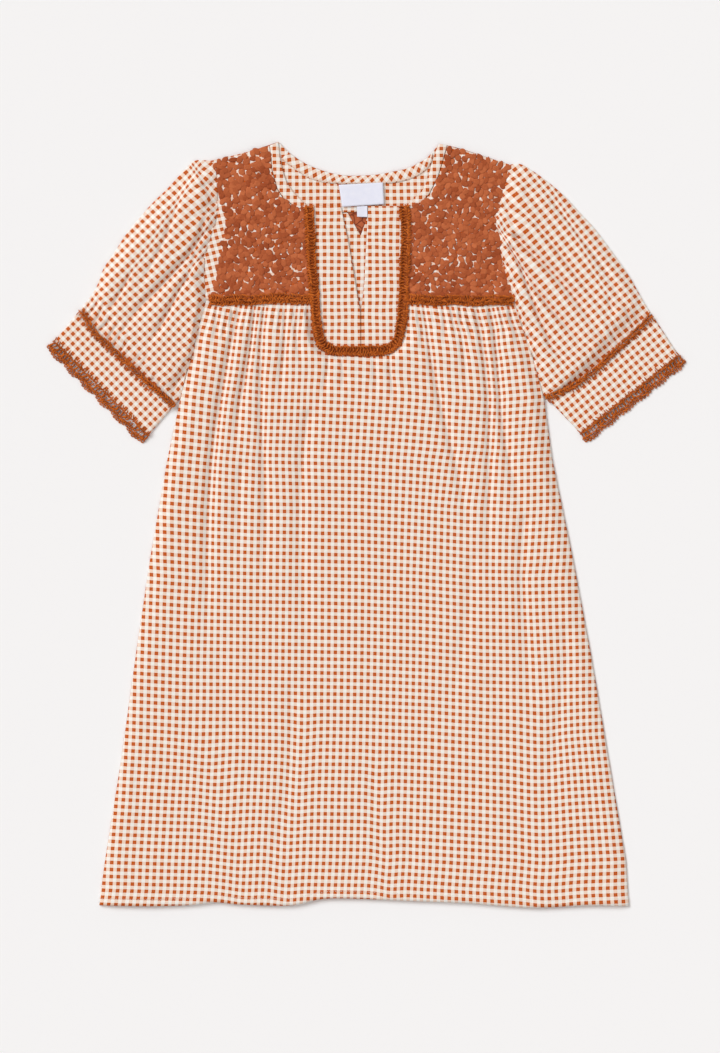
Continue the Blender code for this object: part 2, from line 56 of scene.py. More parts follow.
def curve(points, soft=True):
    """A function of a share of the length, through the points in turn."""
    points = np.array(points, float)
    steps = np.hypot(*np.diff(points, axis=0).T)
    lengths = np.concatenate([[0.0], np.cumsum(steps)])

    def at(share):
        length = np.clip(share, 0, 1) * lengths[-1]
        index = np.clip(np.searchsorted(lengths, length, side="right") - 1, 0, len(steps) - 1)
        part = ((length - lengths[index]) / steps[index])[..., None]
        start, end = points[index], points[index + 1]
        if not soft:
            return start + (end - start) * part
        before = points[np.maximum(index - 1, 0)]
        after = points[np.minimum(index + 2, len(points) - 1)]
        return 0.5 * (2 * start + (end - before) * part
                      + (2 * before - 5 * start + 4 * end - after) * part ** 2
                      + (3 * start - before - 3 * end + after) * part ** 3)
    return at


def chain(*parts):
    """Curves one after another, each given as a share of the whole and a curve."""
    def at(share):
        share = np.asarray(share, float)
        place = np.zeros(share.shape + (2,))
        begin = 0.0
        for size, part in parts:
            here = (share >= begin - 1e-9) if begin else np.ones(share.shape, bool)
            place[here] = part((share[here] - begin) / size)
            begin += size
        return place
    return at


def patch(top, foot, left, right):
    """A plan between four edges that meet at their ends."""
    zero, one = np.zeros(1), np.ones(1)
    corners = [edge(end)[0] for edge in (top, foot) for end in (zero, one)]

    def at(across, down):
        a, d = across[..., None], down[..., None]
        ruled = (1 - d) * top(across) + d * foot(across) + (1 - a) * left(down) + a * right(down)
        return ruled - ((1 - d) * ((1 - a) * corners[0] + a * corners[1])
                        + d * ((1 - a) * corners[2] + a * corners[3]))
    return at


def between(first, second):
    """A plan ruled from one edge to another."""
    return lambda across, down: first(across) + (second(across) - first(across)) * down[..., None]


def table(rows):
    """The other columns of a table, read at any value of its first one."""
    rows = np.array(sorted(rows), float)

    def at(value):
        return [np.interp(value, rows[:, 0], rows[:, column]) for column in range(1, rows.shape[1])]
    return at


def eased(value):
    """A share held between 0 and 1, with soft ends."""
    value = np.clip(value, 0, 1)
    return value * value * (3 - 2 * value)


# %% [markdown]
# ## The dress's outlines
# These are the same edges that the solid model was cut to. Each row is a place on the seam or edge,
# in millimetres from the point under the middle of the dress: x to the right, y towards the shoulders.

# %% Outlines of the body
CLOTH = 1.2
GAP = 0.3
FRONT_LEVEL = CLOTH + GAP
NECK_RISE = 1.3
YOKE_FOOT = 259.3
MIDDLE = -7.5
HEM_DEPTH = 9.0
CHECK = 8.0

SKIRT = (
    (259, -183, 170), (225, -192, 181), (190, -201, 193), (147, -212.5, 205), (75, -228, 215),
    (-40, -248, 239), (-155, -265, 260.5), (-270, -281, 280), (-385, -299.5, 299.5), (-438, -306.5, 303))
HEM = (
    (-306.5, -436.5), (-248, -437.5), (-202, -436), (-173, -433), (-144, -435.5), (-87, -436.5), (-52, -429.5),
    (-18, -428.5), (68, -432), (120, -434), (189, -439), (258, -436.5), (303, -437.5))
FRONT_SEAM = (
    (0.0, -183, 259), (0.33, -61, 259), (0.355, -57.5, 231), (0.375, -54, 213), (0.395, -46.5, 204.5),
    (0.43, -34, 200.8), (0.50, -6, 200.6), (0.57, 22, 200.8), (0.605, 33.5, 204.8), (0.625, 39, 213),
    (0.645, 43, 231), (0.67, 46, 259), (1.0, 170, 259))
LEFT_ARMHOLE = ((-178.4, 419), (-173.5, 408), (-172, 389), (-171, 372), (-173, 352), (-177.5, 337),
                (-181.8, 323.7), (-186, 306.8), (-186.9, 290.4), (-185.5, 273), (-183, 259.6))
LEFT_WORKED_EDGE = ((-176, 418), (-172, 408), (-171, 389), (-167, 375), (-161.5, 357), (-161, 339),
                    (-167, 314), (-172.5, 286), (-177, 270), (-179, 259.6))
LEFT_YOKE_NECK = ((-110.5, 436), (-107.5, 408), (-101.5, 386), (-94.5, 375.5), (-80, 365), (-66.8, 362),
                  (-65, 338), (-63, 310), (-61, 280), (-60.5, 259.6))
RIGHT_ARMHOLE = ((166.5, 414.5), (163, 401), (158.6, 381), (152.5, 361.5), (150.8, 353), (152.4, 339),
                 (157.3, 311), (163, 287), (169, 265), (170, 259.6))
RIGHT_YOKE_NECK = ((94.5, 436.5), (88, 414.5), (84, 401), (74, 381), (66, 371), (56, 365), (48.9, 361.5),
                   (47.3, 339), (46.3, 311), (45.4, 287), (45.2, 259.6))
LEFT_OPENING = ((-100, 440.6), (-98, 422.6), (-93, 401.5), (-86, 387.5), (-76.5, 376.6), (-67.2, 367.6))
RIGHT_OPENING = ((84.5, 438.5), (78.2, 422.6), (72.4, 402), (66, 385.8), (54.6, 374.3), (47, 367.4))
BACK_NECK = ((-100, 441), (-89, 429.5), (-70.7, 417), (-52, 409), (-34, 404), (-15, 402), (12, 403.5),
             (30.5, 406.5), (49, 411), (67, 420), (76.5, 428.5), (84.5, 438.7))
BINDING_FOOT = ((-96.6, 421), (-81.4, 409.6), (-66, 399.5), (-49.4, 394.4), (-31, 392.7), (-7.5, 392.1),
                (21, 392.7), (41.7, 395.3), (58.5, 401), (70.2, 409.6), (77, 420))
BIB_LEFT = ((367, -64, -28.4), (328, -62, -20), (282, -60, -12), (257, -59, -7.8), (247, -58, -5.7),
            (231, -56, -5.5), (214, -52.2, -5.4), (205.5, -46, -5.4), (201.2, -34, -5.3))
BIB_RIGHT = ((367, 45, 3.2), (334, 46, 1.4), (317, 45.6, 0.6), (282, 45, -1.0), (257, 44.3, -3.8),
             (247, 43.4, -4.9), (231, 41.4, -4.9), (214, 37.6, -4.9), (205.5, 31.5, -4.9), (201.2, 22, -4.9))
BIB_TRIM_PATH = (
    (-65.5, 366), (-63.8, 340), (-62.5, 309), (-60, 275), (-57.8, 250), (-55.2, 225), (-50.6, 209.5), (-39.7, 201.8),
    (-23.6, 200.4), (-6, 200.3), (11, 200.5), (26, 202.5), (36.2, 211), (40.6, 227), (43.2, 245), (44.4, 275),
    (46, 309), (46.6, 340), (45, 366))
LEFT_YOKE_TRIM = ((-178.5, 259.0), (-162, 258.4), (-147, 259.8), (-131, 258.6), (-112, 260.8), (-95, 261.2),
                  (-78, 259.8), (-60.5, 260.3))
RIGHT_YOKE_TRIM = ((45.5, 259), (64, 259.9), (84, 258.2), (103, 259.4), (124, 257.6), (146, 259.2), (169, 258.2))

# %% Outlines of the sleeves
LEFT_OVERARM = ((-178.7, 419.2), (-196, 419.3), (-210, 406.5), (-227, 388), (-245.5, 370), (-261.6, 351),
                (-276.6, 333), (-288, 314.5), (-300.7, 296), (-307.6, 278), (-312.2, 268.5), (-321.4, 256),
                (-326.7, 249.5))
RIGHT_OVERARM = ((166.9, 414.6), (180, 414.8), (206.4, 397.5), (228.3, 379), (245.5, 360.5), (262.8, 342),
                 (276.6, 324), (290.4, 305), (303, 287), (313.4, 268.5), (322.6, 252.5),
                 (328.6, 243.5))
LEFT_SKIRT_ARMHOLE = ((-184, 256), (-192.4, 225), (-201.4, 190), (-213, 147.5))
RIGHT_SKIRT_ARMHOLE = ((170.6, 256), (181.6, 225), (193.5, 190), (205.5, 149.5))
LEFT_CUFF_SEAM = ((-326.7, 249.5), (-311.1, 223.7), (-285.5, 199), (-255, 169.8), (-219.6, 138.6))
RIGHT_CUFF_SEAM = ((328.6, 243.5), (312, 225.5), (290.4, 205.3), (262, 178.5), (234, 158.8),
                   (207.6, 147.5))
LEFT_CUFF_EDGE = ((-357.4, 212), (-249.4, 103.8))
RIGHT_CUFF_EDGE = ((360.2, 195.4), (247.6, 105.4))
SEAM_STEP = (0.4, 0.5)  # from a sleeve's end to its cuff's start, outwards and down
CUFF_TOP = 3.1
LACE_DEPTH = 11.5
SCALLOP_COUNT = 6
SCALLOP_DEPTH = 3.5

# %% [markdown]
# ## Folds
# Gathers and creases are soft troughs between rounded ridges. Each has a start, an end, a half width
# and a depth, all given one by one, because real gathers differ in length, depth and spacing. A fold also
# hides some cloth, so the same rows later shift the woven checks, and the pattern bends into it.

# %% Fold tables
# start x, y, end x, y, half width, depth as a share of the puff
FRONT_FOLDS = (
    (-170, 252, -174, 200, 4, 0.6), (-148, 252, -196, -201, 6, 1.0), (-131, 252, -147, 72, 4.5, 1.0),
    (-141, 67, -148, -48, 7, 0.45), (-118, 252, -121, 177, 3.5, 0.5), (-109, 252, -128, -124, 5, 0.75),
    (-94, 252, -95, 139, 4, 0.7), (-79, 252, -75, 177, 3.5, 0.6), (-65, 250, -60, 202, 3.5, 0.6),
    (-66, 127, -73, -218, 9, 0.6), (-82, -189, -109, -431, 9, 0.6),
    (52, 246, 51, 200, 3.5, 0.6), (63, 250, 67, 190, 3.5, 0.5), (73, 250, 118, -40, 5, 0.8),
    (120, -40, 103, -241, 9, 0.45), (88, 250, 93, 202, 3.5, 0.6), (99, 250, 105, 208, 3.5, 0.6),
    (111, 250, 114, 150, 4, 0.6), (126, 250, 155, -105, 5, 0.8), (140, 250, 186, -11, 5.5, 1.0),
    (186, 6, 181, -247, 8, 0.75), (155, 252, 162, 202, 3.5, 0.6), (168, 248, 175, 195, 3.5, 0.6),
    (227, -120, 213, -362, 9, 0.6), (144, -178, 168, -233, 12, 0.4), (155, -247, 195, -431, 14, 0.4),
    (-248, -233, -141, -375, 12, 0.45), (-165, -149, -157, -275, 9, 0.4), (-242, -53, -249, -143, 8, 0.4),
    (-264, -275, -255, -379, 8, 0.4), (10, -293, 18, -425, 10, 0.4), (53, -344, 53, -419, 9, 0.35),
    (-43, 193, -47, 142, 3.5, 0.5), (-26, 193, -26, 150, 3.5, 0.4), (11, 193, 12, 147, 3.5, 0.45),
    (29, 195, 32, 139, 3.5, 0.5))
LEFT_SLEEVE_FOLDS = (
    (-188, 335, -281, 218, 4, 1.0), (-271, 285, -302, 236, 3, 0.6), (-203, 285, -255, 200, 3.5, 0.8),
    (-214, 372, -262, 262, 3, 0.45),
    (-186, 350, -203, 275, 4, 0.5), (-195, 411, -182, 393, 3, 0.6), (-183, 388, -171, 370, 3, 0.6),
    (-212, 402, -229, 328, 6, 0.35), (-206, 183, -224, 144, 4, 0.8))
RIGHT_SLEEVE_FOLDS = (
    (175, 333, 282, 211, 4, 1.0), (166, 317, 263, 190, 3.5, 1.0), (160, 372, 175, 333, 3, 0.7),
    (178, 290, 232, 176, 3, 0.8), (196, 340, 300, 226, 3, 0.5),
    (158, 344, 162, 328, 3, 0.6), (180, 243, 206, 163, 4, 0.8), (211, 209, 248, 172, 4, 0.5),
    (219, 372, 311, 234, 5, 0.6), (280, 257, 288, 241, 3, 0.5), (186, 384, 249, 310, 6, 0.35))

# %% Troughs and the cloth that they hide
GATHERED_ABOVE = 185


def along_fold(x, y, fold):
    """Share along a fold, distance to its side, its width there and its direction to the side."""
    x0, y0, x1, y1, half_width, _ = fold
    run_x, run_y = x1 - x0, y1 - y0
    length = math.hypot(run_x, run_y)
    along = ((x - x0) * run_x + (y - y0) * run_y) / length ** 2
    aside = ((x - x0) * run_y - (y - y0) * run_x) / length
    aside = aside + 0.02 * length * np.sin(along * 5 + x0)
    width = half_width * (1 + 0.8 * np.clip(along, 0, 1))
    return along, aside, width, length, (run_y / length, -run_x / length)


def folded(x, y, folds):
    """What is left of the puff at each place: each fold is a soft trough with a crease along it."""
    left = np.ones(np.shape(x))
    for fold in folds:
        along, aside, width, length, _ = along_fold(x, y, fold)
        strength = fold[5] * eased(1 + along * length / 8) * eased((1 - along) * 2.2)
        trough = 0.6 * np.exp(-(aside / (0.85 * width)) ** 2) + 0.4 * np.exp(-np.abs(aside) / (0.3 * width))
        left = left * (1 - np.minimum(strength, 1) * trough)
    return left


def hidden_cloth(x, y, folds, puff):
    """How far the weave has moved at each place, because each fold takes up a strip of cloth."""
    shift = np.zeros(np.shape(x) + (2,))
    for fold in folds:
        along, aside, width, _, normal = along_fold(x, y, fold)
        begins = 1.0 if fold[1] > GATHERED_ABOVE else eased(along * 3)
        strength = fold[5] * begins * eased((1 - along) * 1.6)
        taken = 1.8 * (np.hypot(1.2 * width, strength * puff) - 1.2 * width)
        near = np.tanh(aside / width) - np.tanh(aside / (6 * width))
        for axis in (0, 1):
            shift[..., axis] += normal[axis] * taken * near
    return shift


def rumple(x, y, seed, wavelength=46.0, count=9):
    """Faint broad unevenness of handled cloth, between -1 and 1: long waves in many directions."""
    dice = np.random.default_rng(seed)
    total = np.zeros(np.shape(x))
    for _ in range(count):
        angle, phase = dice.uniform(0, math.pi), dice.uniform(0, math.tau)
        wave = wavelength * dice.uniform(0.6, 1.8) / math.tau
        total += np.sin((x * math.cos(angle) + y * math.sin(angle)) / wave + phase)
    return total / count


# %% Small gathers under the yokes
dice = np.random.default_rng(5)
small_gathers = []
for first, last in ((-178, -64), (50, 166)):
    place = first
    while place < last:
        reach = dice.uniform(14, 46)
        small_gathers.append((place, 251, place + reach * place / 900, 251 - reach, 1.9, dice.uniform(0.4, 0.8)))
        place += dice.uniform(5, 10)
GATHERS = FRONT_FOLDS + tuple(small_gathers)
print(len(GATHERS), "folds on the front,", len(small_gathers), "of them small gathers")

# %% [markdown]
# ## Node helpers
# The finishes and the stitch trees are node graphs. One small helper adds a node, sets its properties
# and joins its inputs, so that each graph below reads as a list of what it does.

# %% Node helpers


def add(tree, kind, inputs=None, **properties):
    """A node of that kind. Each input is a value, or another node's output socket."""
    node = tree.nodes.new(kind)
    for name, value in properties.items():
        setattr(node, name, value)
    for name, value in (inputs or {}).items():
        socket = node.inputs[name]
        if isinstance(value, bpy.types.NodeSocket):
            tree.links.new(value, socket)
        else:
            socket.default_value = value
    return node


def maths(tree, operation, first, second=0.0, third=0.0):
    return add(tree, "ShaderNodeMath", {0: first, 1: second, 2: third}, operation=operation).outputs[0]


def blend(tree, share, first, second):
    """A colour mixed from two others."""
    node = add(tree, "ShaderNodeMix", data_type="RGBA")
    for place, value in ((0, share), (6, first), (7, second)):
        if isinstance(value, bpy.types.NodeSocket):
            tree.links.new(value, node.inputs[place])
        else:
            node.inputs[place].default_value = value
    return node.outputs[2]


def srgb(red, green, blue):
    """A colour as the eye names it, 0 to 255, turned into the light that Blender mixes."""
    def linear(value):
        value /= 255
        return value / 12.92 if value <= 0.04045 else ((value + 0.055) / 1.055) ** 2.4
    return linear(red), linear(green), linear(blue), 1.0


def finish_of(name, roughness, sheen, sheen_roughness=0.5):
    """A new material and its shader, with the plain numbers that a fabric has all over."""
    made = bpy.data.materials.new(name)
    made.use_nodes = True
    shader = made.node_tree.nodes["Principled BSDF"]
    shader.inputs["Roughness"].default_value = roughness
    shader.inputs["Sheen Weight"].default_value = sheen
    shader.inputs["Sheen Roughness"].default_value = sheen_roughness
    shader.inputs["Specular IOR Level"].default_value = 0.06
    return made, made.node_tree, shader


# %% [markdown]
# ## Checked cotton
# A gingham is woven from bands of dyed and undyed yarn, the same in both directions. Where two dyed
# bands cross, the cloth is full rust; where one crosses undyed yarn, it is a pale tint; elsewhere it
# is cream. The cloth's own UV map is in metres of weave, so that the checks bend with the folds.

# %% Checked cotton
CREAM = srgb(242, 239, 234)
TINT = srgb(238, 210, 191)
RUST = srgb(190, 82, 0)


def band(tree, coordinate):
    """1 on a dyed band and 0 on an undyed one, with the paler ends that split a band in two."""
    phase = maths(tree, "FRACT", maths(tree, "DIVIDE", coordinate, CHECK * MM))
    ramp = add(tree, "ShaderNodeValToRGB", {"Fac": phase})
    stops = ramp.color_ramp.elements
    places = ((0.0, 0.0), (0.03, 1.0), (0.24, 1.0), (0.265, 0.8), (0.29, 1.0), (0.51, 1.0), (0.54, 0.0))
    stops[0].position, stops[0].color = 0.0, (0, 0, 0, 1)
    stops[1].position, stops[1].color = 1.0, (0, 0, 0, 1)
    for place, level in places[1:]:
        stop = stops.new(place)
        stop.color = (level, level, level, 1)
    return ramp.outputs["Color"]


def checked_cotton():
    made, tree, shader = finish_of("checked_cotton", 0.95, 0.0)
    weave = add(tree, "ShaderNodeUVMap", uv_map="weave").outputs["UV"]
    wobble = add(tree, "ShaderNodeTexNoise", {"Vector": weave, "Scale": 900.0, "Detail": 2.0}).outputs["Color"]
    moved = add(tree, "ShaderNodeVectorMath", {0: wobble, 1: (0.5, 0.5, 0.5)}, operation="SUBTRACT").outputs[0]
    small = add(tree, "ShaderNodeVectorMath", {0: moved, "Scale": 0.0006}, operation="SCALE").outputs[0]
    place = add(tree, "ShaderNodeVectorMath", {0: weave, 1: small}, operation="ADD").outputs[0]
    split = add(tree, "ShaderNodeSeparateXYZ", {"Vector": place})
    across, along = band(tree, split.outputs["X"]), band(tree, split.outputs["Y"])
    either = maths(tree, "MAXIMUM", across, along)
    both = maths(tree, "MULTIPLY", across, along)
    tinted = blend(tree, either, CREAM, TINT)
    checked = blend(tree, both, tinted, RUST)
    slub = add(tree, "ShaderNodeTexNoise", {"Vector": weave, "Scale": 260.0, "Detail": 4.0}).outputs["Fac"]
    worn = maths(tree, "MULTIPLY_ADD", slub, 0.16, 0.92)
    coloured = add(tree, "ShaderNodeVectorMath", {0: checked, "Scale": worn}, operation="SCALE").outputs[0]
    tree.links.new(coloured, shader.inputs["Base Color"])
    threads = []
    for socket in (split.outputs["X"], split.outputs["Y"]):
        threads.append(maths(tree, "SINE", maths(tree, "MULTIPLY", socket, math.tau / 0.0005)))
    height = maths(tree, "ADD", maths(tree, "MULTIPLY", threads[0], threads[1]), slub)
    bump = add(tree, "ShaderNodeBump", {"Height": height, "Strength": 0.25, "Distance": 0.0002})
    tree.links.new(bump.outputs["Normal"], shader.inputs["Normal"])
    return made


gingham = checked_cotton()
print("Checked cotton, one repeat every", CHECK, "mm")

# %% [markdown]
# ## Yarn and thread
# Embroidery thread has a soft gloss and runs in one direction over each petal. Crochet yarn is
# twisted and matt. Both vary a little in colour from stitch to stitch, which is read from an attribute
# that the stitch trees store on every copy.

# %% Yarn, thread and label tape


def thread(name, dark, light, roughness, sheen, scale, stripes):
    """A yarn finish: a colour for each stitch, finer flecks, and the ridges of its strands."""
    made, tree, shader = finish_of(name, roughness, sheen)
    where = add(tree, "ShaderNodeTexCoord").outputs["Object"]
    own = add(tree, "ShaderNodeAttribute", attribute_name="shade").outputs["Fac"]
    fleck = add(tree, "ShaderNodeTexNoise", {"Vector": where, "Scale": scale, "Detail": 3.0}).outputs["Fac"]
    broad = add(tree, "ShaderNodeTexNoise", {"Vector": where, "Scale": 45.0, "Detail": 2.0}).outputs["Fac"]
    level = maths(tree, "ADD", maths(tree, "MULTIPLY", own, 0.45), maths(tree, "MULTIPLY", fleck, 0.4))
    level = maths(tree, "ADD", level, maths(tree, "MULTIPLY", broad, 0.35))
    ramp = add(tree, "ShaderNodeMapRange", {0: level, 1: 0.3, 2: 0.85}).outputs[0]
    tree.links.new(blend(tree, ramp, dark, light), shader.inputs["Base Color"])
    strand = add(tree, "ShaderNodeTexWave", {"Vector": where, "Scale": stripes, "Distortion": 3.0, "Detail": 2.0},
                 bands_direction="DIAGONAL").outputs["Fac"]
    bump = add(tree, "ShaderNodeBump", {"Height": strand, "Strength": 0.5, "Distance": 0.0003})
    tree.links.new(bump.outputs["Normal"], shader.inputs["Normal"])
    return made


embroidery_thread = thread("embroidery_thread", srgb(152, 70, 36), srgb(196, 108, 66), 0.7, 0.12, 700.0, 320.0)
crochet_yarn = thread("crochet_yarn", srgb(158, 74, 18), srgb(208, 110, 40), 0.85, 0.1, 900.0, 260.0)
# The ground below the crochet is darker than its yarn: painted shade for the gaps between the stitches.
crochet_ground_painted_shade = thread("crochet_ground_painted_shade", srgb(130, 58, 16), srgb(178, 88, 32), 0.9, 0.05, 900.0, 260.0)
sewing_thread = thread("sewing_thread", srgb(226, 214, 202), srgb(248, 244, 238), 0.6, 0.2, 900.0, 400.0)


def label_tape():
    """Satin tape, pale and bare, with the fine ribs of its weave."""
    made, tree, shader = finish_of("label_tape", 0.5, 0.1)
    where = add(tree, "ShaderNodeTexCoord").outputs["Object"]
    ribs = add(tree, "ShaderNodeTexWave", {"Vector": where, "Scale": 450.0, "Distortion": 0.4},
               bands_direction="Y").outputs["Fac"]
    mottle = add(tree, "ShaderNodeTexNoise", {"Vector": where, "Scale": 180.0}).outputs["Fac"]
    share = maths(tree, "MULTIPLY_ADD", mottle, 0.6, maths(tree, "MULTIPLY", ribs, 0.3))
    tree.links.new(blend(tree, share, srgb(222, 225, 244), srgb(242, 242, 250)), shader.inputs["Base Color"])
    bump = add(tree, "ShaderNodeBump", {"Height": ribs, "Strength": 0.3, "Distance": 0.0001})
    tree.links.new(bump.outputs["Normal"], shader.inputs["Normal"])
    return made


tape = label_tape()


def worked_cloth():
    """The back yoke seen flat: dense thread petals, with painted shade as dark lines between them."""
    made, tree, shader = finish_of("worked_cloth", 0.7, 0.2)
    where = add(tree, "ShaderNodeTexCoord").outputs["Object"]
    bent = add(tree, "ShaderNodeTexNoise", {"Vector": where, "Scale": 60.0}).outputs["Color"]
    small = add(tree, "ShaderNodeVectorMath", {0: bent, "Scale": 0.008}, operation="SCALE").outputs[0]
    place = add(tree, "ShaderNodeVectorMath", {0: where, 1: small}, operation="ADD").outputs[0]
    petals = add(tree, "ShaderNodeTexVoronoi", {"Vector": place, "Scale": 110.0}, feature="DISTANCE_TO_EDGE")
    crease_shade_and_relief = add(tree, "ShaderNodeMapRange", {0: petals.outputs["Distance"], 1: 0.01, 2: 0.09}).outputs[0]
    fleck = add(tree, "ShaderNodeTexNoise", {"Vector": where, "Scale": 600.0}).outputs["Fac"]
    worked = blend(tree, fleck, srgb(160, 76, 44), srgb(200, 112, 72))
    # Painted shade: the narrow lines between the petals are darkened in the colour, and the same mask gives them
    # their relief.
    seam = blend(tree, crease_shade_and_relief, srgb(120, 52, 30), worked)
    tree.links.new(seam, shader.inputs["Base Color"])
    bump = add(tree, "ShaderNodeBump", {"Height": crease_shade_and_relief, "Strength": 0.6, "Distance": 0.0008})
    tree.links.new(bump.outputs["Normal"], shader.inputs["Normal"])
    return made


back_embroidery = worked_cloth()

# %% [markdown]
# ## From a grid to cloth
# A cloth piece is one grid of points, given a little thickness by a Solidify modifier that grows it
# downwards. The grid also carries the weave coordinates. A tube, such as a sleeve, is a grid that
# goes over the top of the arm, round its edge and back underneath.

# %% Cloth builders
THIN = 0.6


def own(piece, node, slot, kind="cloth"):
    """Say what a finished piece stands for and what moves it; slot, what it is made of, is not used."""
    if node:
        piece.name = piece.data.name = f"{node}_{kind}"
        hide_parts(node)
    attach(piece, "root")
    return piece


def mesh_from_grid(name, points, weave, material, closed=False):
    """A quad mesh over a grid of points in millimetres, facing up, with its weave as a UV map."""
    rows, columns = points.shape[:2]
    index = np.arange(rows * columns).reshape(rows, columns)
    if closed:
        index = np.concatenate([index, index[:, :1]], axis=1)
        weave = np.concatenate([weave, weave[:, :1]], axis=1)
    corners = [index[:-1, :-1], index[1:, :-1], index[1:, 1:], index[:-1, 1:]]
    maps = [weave[:-1, :-1], weave[1:, :-1], weave[1:, 1:], weave[:-1, 1:]]
    first = points[:-1, :-1][:, : columns // 3]
    turn = np.cross(points[1:, :-1][:, : columns // 3] - first, points[:-1, 1:][:, : columns // 3] - first)
    if turn[..., 2].mean() < 0:
        corners.reverse()
        maps.reverse()
    faces = np.stack(corners, axis=-1).reshape(-1, 4)
    mesh = bpy.data.meshes.new(name)
    mesh.from_pydata((points.reshape(-1, 3) * MM).tolist(), [], faces.tolist())
    layer = mesh.uv_layers.new(name="weave")
    layer.data.foreach_set("uv", (np.stack(maps, axis=2).reshape(-1) * MM).astype(np.float32))
    mesh.materials.append(material)
    mesh.shade_smooth()
    piece = bpy.data.objects.new(name, mesh)
    bpy.context.scene.collection.objects.link(piece)
    return piece


def cloth(name, plan, columns, rows, height, weave, material=None, thick=THIN):
    """A sheet of cloth. height and weave are functions of x, y and the shares across and down."""
    shares = np.linspace(0, 1, rows + 1) if isinstance(rows, int) else np.asarray(rows)
    across, down = np.meshgrid(np.linspace(0, 1, columns + 1), shares)
    place = plan(across, down)
    x, y = place[..., 0], place[..., 1]
    points = np.stack([x, y, height(x, y, across, down)], axis=-1)
    piece = mesh_from_grid(name, points, weave(x, y, across, down), material or gingham)
    thickened = piece.modifiers.new("Cloth", "SOLIDIFY")
    thickened.thickness = thick * MM
    thickened.offset = -1
    return piece


def cloth_tube(name, plan, columns, rows, top, weave, ground=0.15, round_edge=5.0):
    """A flattened tube: over the top, round the fold, and back along the ground."""
    shares = np.linspace(0, 1, rows + 1)
    over = 0.5 - 0.5 * np.cos(np.linspace(0, math.pi, columns + 1)) * 0.35 - 0.65 * (0.5 - np.linspace(0, 1, columns + 1))
    over = (over - over[0]) / (over[-1] - over[0])
    ring = np.concatenate([over, over[-2:0:-1]])
    upper = np.arange(len(ring)) <= columns
    across, down = np.meshgrid(ring, shares)
    place = plan(across, down)
    x, y = place[..., 0], place[..., 1]
    width = np.linalg.norm(place[:, columns] - place[:, 0], axis=1)[:, None]
    inward = np.minimum(across, 1 - across) * width / round_edge
    bend = np.sqrt(np.clip(1 - (1 - np.clip(inward, 0, 1)) ** 2, 0, 1))
    high = top(x, y, across, down)
    middle = 0.5 * (high + ground)
    z = np.where(upper, middle + (high - middle) * bend, middle - (middle - ground) * bend)
    points = np.stack([x, y, z], axis=-1)
    piece = mesh_from_grid(name, points, weave(x, y, across, down), gingham, closed=True)
    thickened = piece.modifiers.new("Cloth", "SOLIDIFY")
    thickened.thickness = 0.5 * MM
    thickened.offset = -1
    return piece


# %% [markdown]
# ## The skirt's front
# The front hangs from the yokes in gathers, which open out towards a narrow turned hem. Its height is
# a low puff with every fold cut into it as a trough. Seen from above, the checks crowd together at the
# sides of a fold, so the weave is stretched to the number of columns that each height really has.

# %% Heights of the front
PANEL_PUFF = 7.0
HEM_PUFF = 2.4
TRIM_HALF_WIDTH = 6.0
bib_seam = curve(BIB_TRIM_PATH)(np.linspace(0, 1, 120))
skirt_sides = table(SKIRT)


def front_level(x, y):
    """The underside of the front where it lies flat: higher over the neck facing and the slit."""
    return FRONT_LEVEL + NECK_RISE * eased((160 - np.abs(x - MIDDLE)) / 35) * eased((y - 165) / 30)


def front_puff(x, y):
    """How far the front may stand up: not at its seams, most under the yokes, little at the hem."""
    flat = np.stack([x, y], axis=-1).reshape(-1, 2)
    near = np.full(len(flat), 1e3)
    for place in bib_seam:
        near = np.minimum(near, np.hypot(*(flat - place).T))
    seams = np.minimum(YOKE_FOOT - y, near.reshape(np.shape(x)))
    left, right = skirt_sides(y)
    sides = eased((np.minimum(x - left, right - x)) / 16)
    puff = HEM_PUFF + (PANEL_PUFF - HEM_PUFF) * eased((y + 250) / 480)
    return puff * eased((seams - TRIM_HALF_WIDTH + 1) / 9) * (0.12 + 0.88 * sides)


def front_height(x, y, across, down):
    left, right = skirt_sides(y)
    edge = (1 - eased(np.minimum(x - left, right - x) / 3)) * eased((150 - y) / 30)
    turned = 0.5 * eased((down - 1 + HEM_DEPTH / 690) / 0.002)
    smooth = front_level(x, y) + CLOTH + front_puff(x, y) * folded(x, y, GATHERS)
    return smooth + turned + 0.45 * rumple(x, y, 3) * np.minimum(1, front_puff(x, y)) - 1.4 * edge


# %% The weave of the front
SHARES_ACROSS = (0.03, 0.12, 0.24, 0.37, 0.5, 0.63, 0.76, 0.88, 0.97)
# height y, then the place in the weave at each share across, in mm from one column of checks
COLUMNS = (
    (225, -221, -186, -130, -70, -20, 30, 82, 134, 172),
    (147, -231, -194, -136, -73, -19, 35, 89, 145, 185),
    (90, -239, -201, -140, -76, -18, 39, 95, 154, 198),
    (20, -246, -206, -146, -81, -16, 46.5, 112, 169, 214),
    (-60, -260, -216, -151, -82, -15, 55, 122, 188, 235),
    (-240, -280, -231, -163, -85, -9, 68, 141, 209.5, 266),
    (-418, -295, -242, -169, -85, -2.6, 80, 157, 228, 279))
# height y, then how much higher the rows of checks lie at each share across, in mm
ROWS = (
    (225, 17, 10, 6, 5, 1, -2, -7, -11, -7.5),
    (147, 18.5, 12.5, 6.5, 5.5, 2.5, -1, -6, -9.5, -6),
    (60, 17, 13, 8, 6.5, 4.5, 0.5, -4.5, -7.5, -5),
    (-60, 13.3, 10, 7.4, 6.2, 4.3, 0.4, -5.5, -6.7, -5.5),
    (-240, 11.5, 8.5, 8, 5.8, 4.5, 0.9, -4.8, -7.7, -5),
    (-418, 11.3, 10, 8.5, 2.4, 1.3, -4.1, -9.3, -11.3, -9.6))


